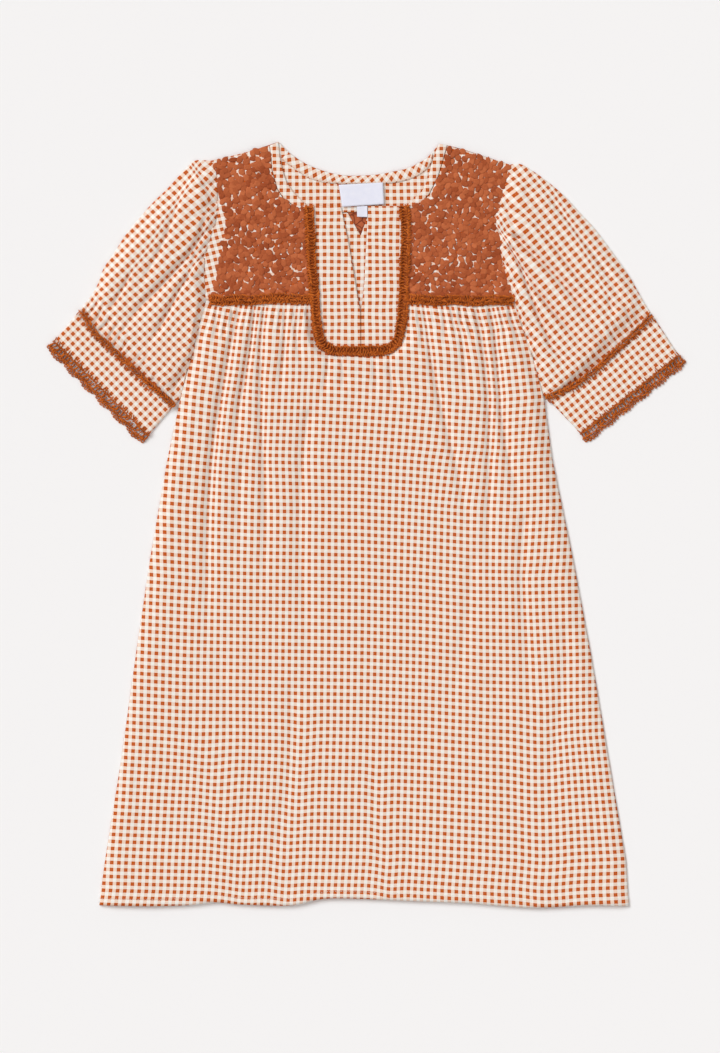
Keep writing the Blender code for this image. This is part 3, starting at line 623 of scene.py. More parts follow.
def by_level(rows, x, y):
    """A table of values across the skirt at several heights, read between them at each place."""
    rows = np.array(rows[::-1], float)
    left, right = skirt_sides(y)
    share = (x - left) / (right - left)
    steps = np.array(SHARES_ACROSS)
    column = np.clip(np.searchsorted(steps, share, side="right") - 1, 0, len(steps) - 2)
    part = (share - steps[column]) / (steps[column + 1] - steps[column])
    row = np.clip(np.searchsorted(rows[:, 0], y, side="right") - 1, 0, len(rows) - 2)
    up = np.clip((y - rows[row, 0]) / (rows[row + 1, 0] - rows[row, 0]), 0, 1)
    values = rows[:, 1:]
    below = values[row, column] * (1 - part) + values[row, column + 1] * part
    above = values[row + 1, column] * (1 - part) + values[row + 1, column + 1] * part
    return below * (1 - up) + above * up


def front_weave(x, y, across, down):
    """The weave drifts as the laid cloth does, and crowds together at the sides of each fold."""
    shift = hidden_cloth(x, y, FRONT_FOLDS, PANEL_PUFF)
    u = by_level(COLUMNS, x, y) + shift[..., 0]
    v = YOKE_FOOT - y + by_level(ROWS, x, y) + 0.3 * shift[..., 1] - row_dips(x, y)
    return np.stack([u, v], axis=-1)


print("The weave's drift is read from", len(COLUMNS), "and", len(ROWS), "heights")

# %% Dips in the rows
# points down the middle of a dip (y, x), half width, depth
ROW_DIPS = (
    (((-215, -196), (-262, -184), (-310, -168), (-369, -152), (-436, -140)), 24, 3.4),
    (((-180, -68), (-330, -80), (-375, -95), (-436, -92)), 15, 2.4),
    (((-240, 10), (-330, 18), (-436, 30)), 12, 2.2), (((-180, 208), (-300, 195), (-436, 206)), 26, 3.2))


def row_dips(x, y):
    """How far the rows sag at each place."""
    sag = np.zeros(np.shape(x))
    for points, half_width, depth in ROW_DIPS:
        rows = np.array(points, float)[::-1]
        middle = np.interp(y, rows[:, 0], rows[:, 1])
        sag = sag + depth * eased((rows[-1, 0] - y) / 60) * np.exp(-((x - middle) / half_width) ** 2)
    return sag


# %% Make the front
SKIRT_TOP = 259.0


def side_edge(column, top, foot):
    def at(down):
        y = top + (foot - top) * down
        return np.stack([skirt_sides(y)[column], y], axis=-1)
    return at


seam_rows = table(FRONT_SEAM)
hem = curve(HEM)
front_plan = patch(lambda across: np.stack(seam_rows(across), axis=-1), hem,
                   side_edge(0, SKIRT_TOP, HEM[0][1]), side_edge(1, SKIRT_TOP, HEM[-1][1]))
front_rows = np.linspace(0, 1, 209) ** 1.15
front_panel = cloth("front_panel", front_plan, 222, front_rows, front_height, front_weave)
own(front_panel, "front_panel", "gingham")

# %% [markdown]
# ## The back
# The back lies flat on the surface. It is the same cut, with a worked yoke above and a checked facing
# round the neck, and almost all of it is hidden under the front.

# %% Back panel, yoke and neck


def straight_weave(turn=0.0, offset=(0.0, 0.0), wander=0.7):
    """Weave coordinates that follow the plan, turned by an angle in degrees, and wander a little."""
    cos, sin = math.cos(math.radians(turn)), math.sin(math.radians(turn))

    def at(x, y, across, down):
        x, y = x + wander * rumple(x, y, 21, 45.0), y + wander * rumple(x, y, 22, 40.0)
        return np.stack([x * cos + y * sin + offset[0], y * cos - x * sin + offset[1]], axis=-1)
    return at


def flat(value):
    return lambda x, y, across, down: np.full(np.shape(x), float(value))


top_edge = YOKE_FOOT - 0.3
back_plan = patch(curve(((-183, top_edge), (170, top_edge)), soft=False), hem,
                  side_edge(0, top_edge, HEM[0][1]), side_edge(1, top_edge, HEM[-1][1]))
back_panel = cloth("back_panel", back_plan, 60, 70, flat(1.2), straight_weave(), thick=1.15)
own(back_panel, "back_panel", "gingham")

shoulder_left = curve(((-178.4, 419), (-144, 427), (-100, 441)))
shoulder_right = curve(((84.5, 438.7), (110, 433), (166.5, 414.5)))
back_top = chain((0.23, shoulder_left), (0.53, curve(BACK_NECK)), (0.24, shoulder_right))
yoke_plan = patch(back_top, curve((LEFT_ARMHOLE[-1], RIGHT_ARMHOLE[-1]), soft=False), curve(LEFT_ARMHOLE),
                  curve(RIGHT_ARMHOLE))
back_yoke = cloth("back_yoke", yoke_plan, 90, 40, flat(1.2), straight_weave(), back_embroidery, thick=1.15)
own(back_yoke, "back_yoke", "embroidery")

facing_foot = curve(((-104, 419), (-92, 392), (-76, 372), (-55, 361.2), (-7, 360.4), (36, 361.2), (60, 372),
                     (76, 392), (87, 419)))
facing = cloth("back_neck_facing", between(curve(BACK_NECK), facing_foot), 90, 30,
               lambda x, y, across, down: 2.5 + 0.25 * np.sin(x / 17 + y / 23), straight_weave(0, (1.0, 2.0)))
own(facing, "back_neck_facing", "gingham")


def bias_weave(x, y, across, down):
    """A strip cut at 45 degrees, so that its checks stand on their corners all the way round."""
    length = across * 190
    depth = down * 9.7
    return np.stack([(length + depth) * 0.7071, (length - depth) * 0.7071], axis=-1)


binding_head = curve([(x, y - 0.4) for x, y in BACK_NECK[1:-1]])
binding = cloth("back_neck_binding", between(binding_head, curve(BINDING_FOOT)), 90, 10,
                lambda x, y, across, down: 3.2 + 0.9 * np.sin(np.pi * np.clip(down, 0.08, 0.92)), bias_weave)
own(binding, "back_neck_binding", "gingham")

# %% [markdown]
# ## The yokes' ground, the neck bands and the bib
# The embroidery is worked on the same checked cotton, which shows in the gaps between the petals and as
# a plain band along the neck. The bib is two folded plackets that meet below the slit.

# %% Front neck pieces


def yoke_height(x, y, across, down):
    return front_level(x, y) + 1.3 + 0.3 * np.sin(x / 9) * np.sin(y / 11)


yokes = {}
for side, shoulder, armhole, neck in (
        ("left", ((-178.4, 419), (-144, 427), (-110.5, 436)), LEFT_ARMHOLE, LEFT_YOKE_NECK),
        ("right", ((166.5, 414.5), (130, 426), (94.5, 436.5)), RIGHT_ARMHOLE, RIGHT_YOKE_NECK)):
    plan = patch(curve(shoulder), curve((armhole[-1], neck[-1]), soft=False), curve(armhole),
                 curve(neck, soft=False))
    yokes[side] = plan
    tilt = 14 if side == "left" else -14
    yoke = cloth(f"front_yoke_{side}", plan, 60, 80, yoke_height, straight_weave(tilt))
    own(yoke, f"front_yoke_{side}", "embroidery")


def band_height(x, y, across, down):
    """A folded band: it rolls over at the opening and lies under the embroidery's edge."""
    return front_level(x, y) + 0.9 + 0.9 * np.sin(np.pi * np.clip(down * 0.85 + 0.12, 0, 1))


neck_bands = {}
for side, opening, neck, ease in (("left", LEFT_OPENING, LEFT_YOKE_NECK[:6], 0.5),
                                  ("right", RIGHT_OPENING, RIGHT_YOKE_NECK[:7], -0.5)):
    inner = curve([(x + ease, y + 0.5) for x, y in neck], soft=False)
    band_piece = cloth(f"neck_band_{side}", between(curve(opening), inner), 60, 10, band_height,
                       straight_weave(0, (3.0, 1.0)))
    own(band_piece, f"neck_band_{side}", "gingham")


def sections(rows):
    """A plan from section rows of y, start x and end x."""
    read = table(rows)
    top, foot = max(rows)[0], min(rows)[0]

    def at(across, down):
        y = top + (foot - top) * down
        start, end = read(y)
        return np.stack([start + (end - start) * across, y], axis=-1)
    return at


def bib_height(x, y, across, down):
    """Flat under the trim, slightly crowned, and rolled over at the folded edge of the slit."""
    return front_level(x, y) + 1.4 + 0.5 * np.sin(np.pi * np.clip(across, 0.05, 0.93)) + 0.4 * rumple(x, y, 8, 22.0)


for side, rows, offset in (("left", BIB_LEFT, (1.0, 3.0)), ("right", BIB_RIGHT, (5.0, 3.0))):
    bib = cloth(f"bib_{side}", sections(rows), 30, 100, bib_height, straight_weave(0, offset, 1.3), thick=0.9)
    own(bib, f"bib_{side}", "gingham")

notch = curve(((-36, 359.6), (-20.5, 359.6), (-5.5, 333), (4, 359.6), (12, 359.6)), soft=False)
slit = cloth("slit_facing", between(notch, curve(((-14, 240), (2, 240)), soft=False)), 40, 40, flat(2.3),
             straight_weave(0, (2.0, 6.0)))
own(slit, "slit_facing", "gingham")

# %% [markdown]
# ## Sleeves and cuffs
# A puffed sleeve is gathered into the armhole and again into its cuff. Laid flat, it is a tube whose
# upper side stands up in long soft folds from the armhole to the cuff. Its checks run square to the
# cuff, so they stand on their corners beside the body's.

# %% Sleeves
SLEEVE_PUFF = 8.0
CREASE = 3.2
TUCK = 1.5


def sleeve_parts(side):
    left = side == "left"
    out = TUCK if left else -TUCK
    armhole_points = LEFT_ARMHOLE if left else RIGHT_ARMHOLE
    skirt_points = LEFT_SKIRT_ARMHOLE if left else RIGHT_SKIRT_ARMHOLE
    seam_points = LEFT_CUFF_SEAM if left else RIGHT_CUFF_SEAM
    armhole = chain((0.6, curve([(x + out, y) for x, y in armhole_points])),
                    (0.4, curve([(armhole_points[-1][0] + out, armhole_points[-1][1])]
                                + [(x + out, y) for x, y in skirt_points])))
    start, end = armhole(np.array([0.0, 1.0]))
    seam = curve(seam_points)
    overarm = curve([tuple(start)] + list((LEFT_OVERARM if left else RIGHT_OVERARM)[1:]))
    underarm = curve((tuple(end), seam_points[-1]), soft=False)
    run = np.array(seam_points[-1]) - np.array(seam_points[0])
    run = run / np.linalg.norm(run)
    return patch(armhole, seam, overarm, underarm), run


def sleeve_maker(side):
    plan, run = sleeve_parts(side)
    folds = LEFT_SLEEVE_FOLDS if side == "left" else RIGHT_SLEEVE_FOLDS
    dice = np.random.default_rng(12 if side == "left" else 13)
    creases = ()
    for end, steps, reach in ((0.02, 15, 0.2), (0.97, 17, -0.2)):
        for number in range(steps):
            share = (number + dice.uniform(0.2, 0.8)) / steps
            first = plan(np.array([share]), np.array([end]))[0]
            last = plan(np.array([share + dice.uniform(-0.03, 0.03)]),
                        np.array([end + reach * dice.uniform(0.4, 1.3)]))[0]
            creases += ((*first, *last, 2.2, dice.uniform(0.5, 1.0)),)

    def top(x, y, across, down):
        rise = eased(across / 0.12) * eased((1 - across) / 0.2) * eased(down / 0.12 + 0.15)
        fall = eased((0.985 - down) / 0.12)
        head = 0.9 * np.cos(math.tau * 11 * across + 2 * np.sin(9 * across)) * np.exp(-down / 0.10)
        tail = 0.9 * np.cos(math.tau * 13 * across + 3 * np.sin(7 * across)) * np.exp(-(1 - down) / 0.10)
        sides = eased(across / 0.1) * eased((1 - across) / 0.1)
        ends = eased(down / 0.02) * eased((1 - down) / 0.04)
        under = 1.3 * eased(1 - down / 0.1) * eased((across - 0.5) / 0.12)
        uneven = 0.6 * rumple(x, y, 6, 30.0) * rise * fall
        height = (2.9 - under + SLEEVE_PUFF * rise * fall * folded(x, y, folds) + uneven
                  + (head + tail) * sides * ends)
        return np.maximum(height - CREASE * (1 - folded(x, y, creases)) * sides, 1.5)

    def weave(x, y, across, down):
        shift = hidden_cloth(x, y, folds, 0.75 * SLEEVE_PUFF) + hidden_cloth(x, y, creases, 3.5)
        x, y = x + shift[..., 0], y + shift[..., 1]
        return np.stack([x * run[0] + y * run[1], x * -run[1] + y * run[0]], axis=-1)
    piece = cloth_tube(f"sleeve_{side}", plan, 140, 120, top, weave)
    return own(piece, f"sleeve_{side}", "gingham"), run


def cuff_start(side):
    """The cuff's upper edge, a small step beyond the sleeve's end."""
    step = -SEAM_STEP[0] if side == "left" else SEAM_STEP[0]
    return [(x + step, y - SEAM_STEP[1]) for x, y in (
        LEFT_CUFF_SEAM if side == "left" else RIGHT_CUFF_SEAM)]


def cuff_maker(side, run):
    plan = between(curve(cuff_start(side)),
                   curve(LEFT_CUFF_EDGE if side == "left" else RIGHT_CUFF_EDGE, False))

    def top(x, y, across, down):
        return CUFF_TOP + 0.8 * np.sin(np.pi * across) * np.sin(np.pi * down) + 0.25 * np.sin(x / 15 + y / 9)

    def weave(x, y, across, down):
        return np.stack([x * run[0] + y * run[1] + 2.0, x * -run[1] + y * run[0] + 3.0], axis=-1)
    piece = cloth_tube(f"cuff_{side}", plan, 60, 24, top, weave, round_edge=3.0)
    return own(piece, f"cuff_{side}", "gingham")


for side in ("left", "right"):
    _, direction = sleeve_maker(side)
    cuff_maker(side, direction)
print("Sleeves and cuffs made")

# %% [markdown]
# ## Stitches along a path
# Crochet, sewing and embroidery all repeat one small stitch. A Geometry Nodes tree spaces copies of it
# along a path, turns each to the path's direction and stores a shade for it, and the result becomes a
# plain mesh. The same tree serves the sewing thread and all the crochet.

# %% The stitch tree


def output_of(tree, geometry):
    tree.links.new(geometry, tree.nodes.new("NodeGroupOutput").inputs[0])


def new_tree(name, sockets):
    """A Geometry Nodes tree with named inputs, and its input node."""
    tree = bpy.data.node_groups.new(name, "GeometryNodeTree")
    tree.interface.new_socket("Geometry", in_out="INPUT", socket_type="NodeSocketGeometry")
    for label, kind in sockets:
        tree.interface.new_socket(label, in_out="INPUT", socket_type=kind)
    tree.interface.new_socket("Geometry", in_out="OUTPUT", socket_type="NodeSocketGeometry")
    return tree, tree.nodes.new("NodeGroupInput").outputs


def shaded_copies(tree, points, stitch, rotation, scale, seed, finish):
    """Copies of the stitch on the points, each with its own shade, realized and given a finish."""
    source = add(tree, "GeometryNodeObjectInfo", {"Object": stitch, "As Instance": True}).outputs["Geometry"]
    copies = add(tree, "GeometryNodeInstanceOnPoints",
                 {"Points": points, "Instance": source, "Rotation": rotation, "Scale": scale}).outputs[0]
    shade = add(tree, "FunctionNodeRandomValue", {"Seed": seed}, data_type="FLOAT").outputs[1]
    kept = add(tree, "GeometryNodeStoreNamedAttribute", {"Geometry": copies, "Name": "shade", "Value": shade},
               data_type="FLOAT", domain="INSTANCE").outputs[0]
    real = add(tree, "GeometryNodeRealizeInstances", {"Geometry": kept}).outputs[0]
    return add(tree, "GeometryNodeSetMaterial", {"Geometry": real, "Material": finish}).outputs[0]


def path_tree():
    tree, given = new_tree("stitches_along_a_path", (
        ("Stitch", "NodeSocketObject"), ("Spacing", "NodeSocketFloat"), ("Scale", "NodeSocketVector"),
        ("Unevenness", "NodeSocketFloat"), ("Seed", "NodeSocketInt"), ("Finish", "NodeSocketMaterial")))
    line = add(tree, "GeometryNodeMeshToCurve", {"Mesh": given["Geometry"]}).outputs[0]
    even = add(tree, "GeometryNodeResampleCurve", {"Curve": line, "Length": given["Spacing"]}, mode="LENGTH")
    tangent = add(tree, "GeometryNodeInputTangent").outputs[0]
    turned = add(tree, "FunctionNodeAlignRotationToVector", {"Vector": tangent}, axis="X", pivot_axis="Z")
    chance = add(tree, "FunctionNodeRandomValue", {0: (-1, -1, -1), 1: (1, 1, 1), "Seed": given["Seed"]},
                 data_type="FLOAT_VECTOR").outputs[0]
    lean = add(tree, "ShaderNodeVectorMath", {0: chance, "Scale": given["Unevenness"]}, operation="SCALE").outputs[0]
    leaning = add(tree, "FunctionNodeRotateRotation", {0: turned.outputs[0], 1: lean}).outputs[0]
    grown = add(tree, "ShaderNodeVectorMath", {0: lean, 1: (1.0, 1.0, 1.0)}, operation="ADD").outputs[0]
    size = add(tree, "ShaderNodeVectorMath", {0: grown, 1: given["Scale"]}, operation="MULTIPLY").outputs[0]
    copies = shaded_copies(tree, even.outputs[0], given["Stitch"], leaning, size, given["Seed"], given["Finish"])
    output_of(tree, copies)
    return tree


def point_tree():
    tree, given = new_tree("stitches_on_points", (
        ("Stitch", "NodeSocketObject"), ("Seed", "NodeSocketInt"), ("Finish", "NodeSocketMaterial")))
    turn = add(tree, "GeometryNodeInputNamedAttribute", {"Name": "turn"}, data_type="FLOAT_VECTOR").outputs[0]
    size = add(tree, "GeometryNodeInputNamedAttribute", {"Name": "size"}, data_type="FLOAT_VECTOR").outputs[0]
    copies = shaded_copies(tree, given["Geometry"], given["Stitch"], turn, size, given["Seed"], given["Finish"])
    output_of(tree, copies)
    return tree


stitches_along = path_tree()
stitches_on_points = point_tree()


def run_tree(piece, tree, **values):
    """Give a piece the tree with these inputs, and leave it as the plain mesh that the tree makes."""
    modifier = piece.modifiers.new("Nodes", "NODES")
    modifier.node_group = tree
    for item in tree.interface.items_tree:
        if item.in_out == "INPUT" and item.name.lower() in values:
            modifier[item.identifier] = values[item.name.lower()]
    graph = bpy.context.evaluated_depsgraph_get()
    made = bpy.data.meshes.new_from_object(piece.evaluated_get(graph))
    piece.modifiers.clear()
    piece.data = made
    return piece


def joined(name, parts):
    """One object from several plain meshes that share a finish."""
    import bmesh
    shape = bmesh.new()
    for part in parts:
        shape.from_mesh(part.data)
    mesh = bpy.data.meshes.new(name)
    for material in parts[0].data.materials:
        mesh.materials.append(material)
    shape.to_mesh(mesh)
    shape.free()
    for part in parts:
        bpy.data.objects.remove(part)
    piece = bpy.data.objects.new(name, mesh)
    bpy.context.scene.collection.objects.link(piece)
    return piece


def stood_on(name, places, turns, sizes, stitch, seed=2, finish=None):
    """Copies of a stitch that stand on places, each with its own turn and size, as a plain mesh."""
    mesh = bpy.data.meshes.new(name)
    mesh.from_pydata((np.asarray(places) * MM).tolist(), [], [])
    for label, values in (("turn", turns), ("size", sizes)):
        attribute = mesh.attributes.new(label, "FLOAT_VECTOR", "POINT")
        attribute.data.foreach_set("vector", np.asarray(values, np.float32).reshape(-1))
    piece = bpy.data.objects.new(name, mesh)
    bpy.context.scene.collection.objects.link(piece)
    return run_tree(piece, stitches_on_points, stitch=stitch, seed=seed, finish=finish or crochet_yarn)


def path_object(name, points):
    """A run of edges through points in millimetres, for a tree to follow."""
    mesh = bpy.data.meshes.new(name)
    edges = [(index, index + 1) for index in range(len(points) - 1)]
    mesh.from_pydata((np.asarray(points) * MM).tolist(), edges, [])
    piece = bpy.data.objects.new(name, mesh)
    bpy.context.scene.collection.objects.link(piece)
    return piece


# %% [markdown]
# ## Small stitches to copy
# One copy is seen hundreds of times, so each has only a few dozen faces. A crochet stitch is a V of
# two plump legs of yarn. A sewing stitch is a short spindle. A petal is a low dome with a groove down
# its middle, as satin stitch makes when it is worked from both edges.

# %% Stitch shapes


def tube_mesh(name, paths, radius, sides=5):
    """Closed tubes of yarn round paths in millimetres, thinner at their ends."""
    points, faces = [], []
    for path in paths:
        path = np.asarray(path, float)
        count = len(path)
        tangents = np.gradient(path, axis=0)
        tangents /= np.linalg.norm(tangents, axis=1)[:, None]
        base = len(points)
        for index, (place, tangent) in enumerate(zip(path, tangents)):
            up = np.array([0, 0, 1.0])
            if abs(tangent[2]) > 0.9:
                up = np.array([0, 1.0, 0])
            sideways = np.cross(tangent, up)
            sideways /= np.linalg.norm(sideways)
            over = np.cross(sideways, tangent)
            share = index / (count - 1)
            wide = radius * (0.45 + 0.55 * math.sin(math.pi * min(max(share, 0.12), 0.88)))
            for step in range(sides):
                angle = math.tau * step / sides
                points.append(place + wide * (math.cos(angle) * sideways + math.sin(angle) * over))
        for index in range(count - 1):
            for step in range(sides):
                a, b = base + index * sides + step, base + index * sides + (step + 1) % sides
                faces.append((a, b, b + sides, a + sides))
        faces.append(tuple(base + step for step in reversed(range(sides))))
        faces.append(tuple(base + (count - 1) * sides + step for step in range(sides)))
    mesh = bpy.data.meshes.new(name)
    mesh.from_pydata((np.array(points) * MM).tolist(), [], faces)
    mesh.shade_smooth()
    return bpy.data.objects.new(name, mesh)


def leg(x0, y0, x1, y1, rise, bow=0.0, count=6):
    """A leg of yarn from one place to another, rising over the middle."""
    share = np.linspace(0, 1, count)
    return np.stack([x0 + (x1 - x0) * share + bow * np.sin(np.pi * share) * (y1 - y0),
                     y0 + (y1 - y0) * share - bow * np.sin(np.pi * share) * (x1 - x0),
                     rise * np.sin(np.pi * share)], axis=-1)


v_stitch = tube_mesh("v_stitch", [leg(-1.6, 1.3, 1.4, 0.2, 0.6, 0.1), leg(-1.6, -1.3, 1.4, -0.2, 0.6, -0.1)], 0.75)
twist_left = tube_mesh("twist_left", [leg(-1.7, -1.7, 1.7, 1.7, 1.1, 0.12)], 1.05)
twist_right = tube_mesh("twist_right", [leg(-1.7, 1.7, 1.7, -1.7, 1.1, -0.12)], 1.05)
rung = tube_mesh("rung", [leg(-0.5, -2.6, 0.4, 2.6, 0.5, 0.1)], 0.95)
bump = tube_mesh("bump", [leg(-1.0, 0.8, 1.0, 0.8, 0.7, -0.7, 5)], 0.85)
round_turn = np.linspace(0, math.tau, 11)
picot_path = np.stack([1.5 * np.cos(round_turn), 1.5 * np.sin(round_turn), 0.3 * np.sin(2 * round_turn)], axis=-1)
picot = tube_mesh("picot", [picot_path], 0.8)
sewn = tube_mesh("sewn", [leg(-1.1, 0, 1.1, 0, 0.18, 0, 5)], 0.22, 4)
hanging_thread = tube_mesh("hanging_thread", [leg(-0.6, 0, 5.4, 0.3, 0.7, 0.05, 5)], 0.7, 4)


def petal_shape():
    """A padded petal 11 mm long and 8.4 mm wide: flat on top, steep at its edge, grooved in the middle."""
    across, along = np.meshgrid(np.linspace(-1, 1, 8), np.linspace(0, 1, 8))
    spread = np.sin(np.pi * np.clip(along * 0.88 + 0.06, 0, 1)) ** 0.55
    x = 11 * along - 1.2 * np.abs(across) ** 1.5 * along - 5.5
    y = 4.2 * spread * np.sign(across) * np.abs(across) ** 0.8
    dome = (1 - np.abs(across) ** 3) ** 0.5 * np.sqrt(np.clip(1 - (2 * along - 1) ** 6, 0, 1))
    z = 1.5 * dome - 0.25 * np.exp(-(across / 0.2) ** 2) * np.sin(np.pi * along) - 0.4
    return mesh_from_grid("petal", np.stack([x, y, z], axis=-1), np.stack([x, y], axis=-1), embroidery_thread)


petal = petal_shape()
bpy.context.scene.collection.objects.unlink(petal)
print("A crochet stitch has", len(v_stitch.data.polygons), "faces, a petal", len(petal.data.polygons))

# %% [markdown]
# ## Crochet bands
# A crochet band is rows of V stitches worked along its length. Each row follows the band's path, moved
# to one side, and sits on a ground that closes the gaps between the stitches; the ground's darker yarn colour is
# painted shade in those gaps.

# %% Crochet bands


def offset_path(path, distance, height, count=160, wave=0.0, waves=0):
    """Points beside a path, at a height above the cloth there."""
    share = np.linspace(0, 1, count)
    place = path(share)
    run = np.gradient(place, axis=0)
    run /= np.linalg.norm(run, axis=1)[:, None]
    wander = 0.35 * np.sin(share * 41 + distance) + 0.3 * np.sin(share * 97 + 2 * distance)
    moved = distance + wander + wave * np.abs(np.sin(np.pi * waves * share))
    x, y = place[:, 0] + run[:, 1] * moved, place[:, 1] - run[:, 0] * moved
    return np.stack([x, y, height(x, y)], axis=-1)


def worked(name, points, stitch, spacing, seed=1, scale=(1, 1, 1), uneven=0.3, finish=None):
    """One row of a stitch along points, as a plain mesh to join with others."""
    return run_tree(path_object(name, points), stitches_along, stitch=stitch, spacing=spacing * MM, scale=scale,
                    unevenness=uneven, seed=seed, finish=finish or crochet_yarn)


def band_ground_painted_shade(name, path, half_width, height, rise, count=120):
    """The closed ground of a band, slightly crowned, darker than the yarn as painted shade in the gaps between the
    stitches.
    """
    sides = np.linspace(-1, 1, 7)
    lines = []
    for side in sides:
        line = offset_path(path, side * half_width, height, count)
        line[:, 2] += rise * (1 - 0.75 * side ** 2)
        lines.append(line)
    points = np.stack(lines, axis=1)
    piece = mesh_from_grid(name, points, points[..., :2], crochet_ground_painted_shade)
    thickened = piece.modifiers.new("Ground", "SOLIDIFY")
    thickened.thickness = 0.8 * MM
    thickened.offset = -1
    return piece


def over_front(x, y):
    return front_level(x, y) + 1.4 + GAP


def band(name, node, path, rows, seed):
    """A crochet band: each row is a distance beside the path, a lift, a stitch and its spacing."""
    parts = []
    for number, (distance, lift, stitch, spacing) in enumerate(rows):
        height = lambda x, y: over_front(x, y) + lift
        parts.append(worked(f"{name}_{number}", offset_path(path, distance, height), stitch, spacing, seed + number))
    faces = sum(len(part.data.polygons) for part in parts)
    own(joined(name, parts), node, "crochet", "yarn")
    own(band_ground_painted_shade(f"{name}_ground", path, 5.4, over_front, 0.7), None, "crochet")
    print(name, "has", faces, "faces")


# From the bib outwards: an edge rope, a ladder with small holes, and a plump outer rope with bumps.
band("bib_trim", "bib_trim", curve(BIB_TRIM_PATH), (
    (-4.4, 1.0, twist_right, 2.9), (-1.3, 0.7, rung, 3.9), (1.8, 1.2, twist_left, 2.8),
    (4.3, 1.0, twist_right, 3.0), (5.8, 0.7, bump, 4.6)), 3)
for side, line in (("left", LEFT_YOKE_TRIM), ("right", RIGHT_YOKE_TRIM)):
    band(f"yoke_trim_{side}", f"yoke_trim_{side}", curve(line), (
        (-4.2, 0.9, twist_right, 3.0), (-1.5, 1.1, twist_left, 2.8), (1.6, 1.2, twist_right, 2.9),
        (4.2, 0.9, twist_left, 3.0), (5.8, 0.5, bump, 5.0)), 11)

# %% [markdown]
# ## Cuff trims and lace
# A narrow crochet line covers each cuff seam, held by long overcast stitches that show on the cuff.
# The cuff's edge carries a scalloped lace: a dense row into the cloth, open posts, a second row,
# and small rings along the scallops.

# %% Cuff trims and lace


def threads(name, points, direction, unevenness, seed):
    """Single threads that lie from each point in about one direction, with uneven lengths."""
    dice = np.random.default_rng(seed)
    count = len(points)
    angle = math.atan2(direction[1], direction[0]) + dice.normal(0, unevenness * 0.5, count)
    turns = np.column_stack([np.zeros(count), dice.normal(0.08, 0.05, count), angle])
    sizes = np.column_stack([dice.uniform(0.45, 1.15, count), np.ones(count), np.ones(count)])
    return stood_on(name, points, turns, sizes, hanging_thread, seed)


for side in ("left", "right"):
    end_a, end_b = LEFT_CUFF_EDGE if side == "left" else RIGHT_CUFF_EDGE
    out = -1 if side == "right" else 1
    whole_seam = curve(cuff_start(side))
    start_a = cuff_start(side)[0]

    def seam(share):
        return whole_seam(0.025 + 0.97 * share)
    level = CUFF_TOP + 1.2

    away = np.array(end_a) - np.array(start_a)
    away = away / np.linalg.norm(away)

    def high(x, y):
        return np.full(np.shape(x), level)
    trim = [worked("rope_inner", offset_path(seam, -1.3, lambda x, y: high(x, y) + 0.5), twist_right, 2.8, 21),
            worked("rope_outer", offset_path(seam, 1.3, lambda x, y: high(x, y) + 0.5), twist_left, 2.8, 22),
            threads("hanging", offset_path(seam, 2.2 * out, high, 46), away, 0.45, 5)]
    own(joined("cuff_trim", trim), f"cuff_trim_{side}", "crochet", "yarn")

    edge = curve((end_a, end_b), False)
    print("Threads hang from the", side, "cuff's trim towards", away.round(2))

    def low(x, y):
        return np.full(np.shape(x), 1.2)
    waves = dict(count=260, waves=SCALLOP_COUNT)
    lace = [worked("first_row", offset_path(edge, 0.7 * out, lambda x, y: low(x, y) + 1.7), v_stitch, 2.6, 31),
            worked("posts", offset_path(edge, 4.2 * out, low), rung, 4.4, 7, (1.35, 1.0, 1.3), 0.4),
            worked("second_row", offset_path(edge, 6.7 * out, low, wave=1.1 * out, **waves), twist_left, 2.7, 8,
                   (1, 0.8, 1)),
            worked("third_row", offset_path(edge, 8.0 * out, low, wave=2.3 * out, **waves), twist_right, 2.7, 12,
                   (1, 0.7, 1)),
            worked("picots", offset_path(edge, 9.7 * out, low, wave=2.9 * out, **waves), picot, 4.4, 9,
                   uneven=0.15),
            threads("picks", offset_path(edge, 0.2 * out, lambda x, y: low(x, y) + 2.3, 44), -away, 0.6, 33)]
    own(joined("cuff_lace", lace), f"cuff_lace_{side}", "crochet", "yarn")
print("Cuff trims and lace made, with", SCALLOP_COUNT, "scallops on each cuff")

# %% [markdown]
# ## Embroidery
# The yokes are covered with flowers and leaves in one colour, worked so densely that the cloth shows
# only as small flecks. The layout is this script's own: flowers on a loose grid, each with its petals
# round a centre, and leaves turned every way in the gaps. A tree puts a petal on each point.

# %% Work the yokes
# %% Work the yokes
def petal_places(ring, step, dice):
    """Places at least a step apart that fill an outline, found by trying many places in turn."""
    low, high = ring.min(axis=0), ring.max(axis=0)
    found = np.zeros((0, 2))
    for _ in range(14000):
        place = low + dice.random(2) * (high - low)
        if len(found) == 0 or np.min(np.hypot(*(found - place).T)) > step:
            if within(ring, *place):
                found = np.vstack([found, place])
    return found


def within(ring, x, y):
    after = np.roll(ring, -1, axis=0)
    crossing = (ring[:, 1] > y) != (after[:, 1] > y)
    level = np.where(crossing, after[:, 1] - ring[:, 1], 1.0)
    at = ring[:, 0] + (y - ring[:, 1]) / level * (after[:, 0] - ring[:, 0])
    return np.count_nonzero(crossing & (x < at)) % 2 == 1


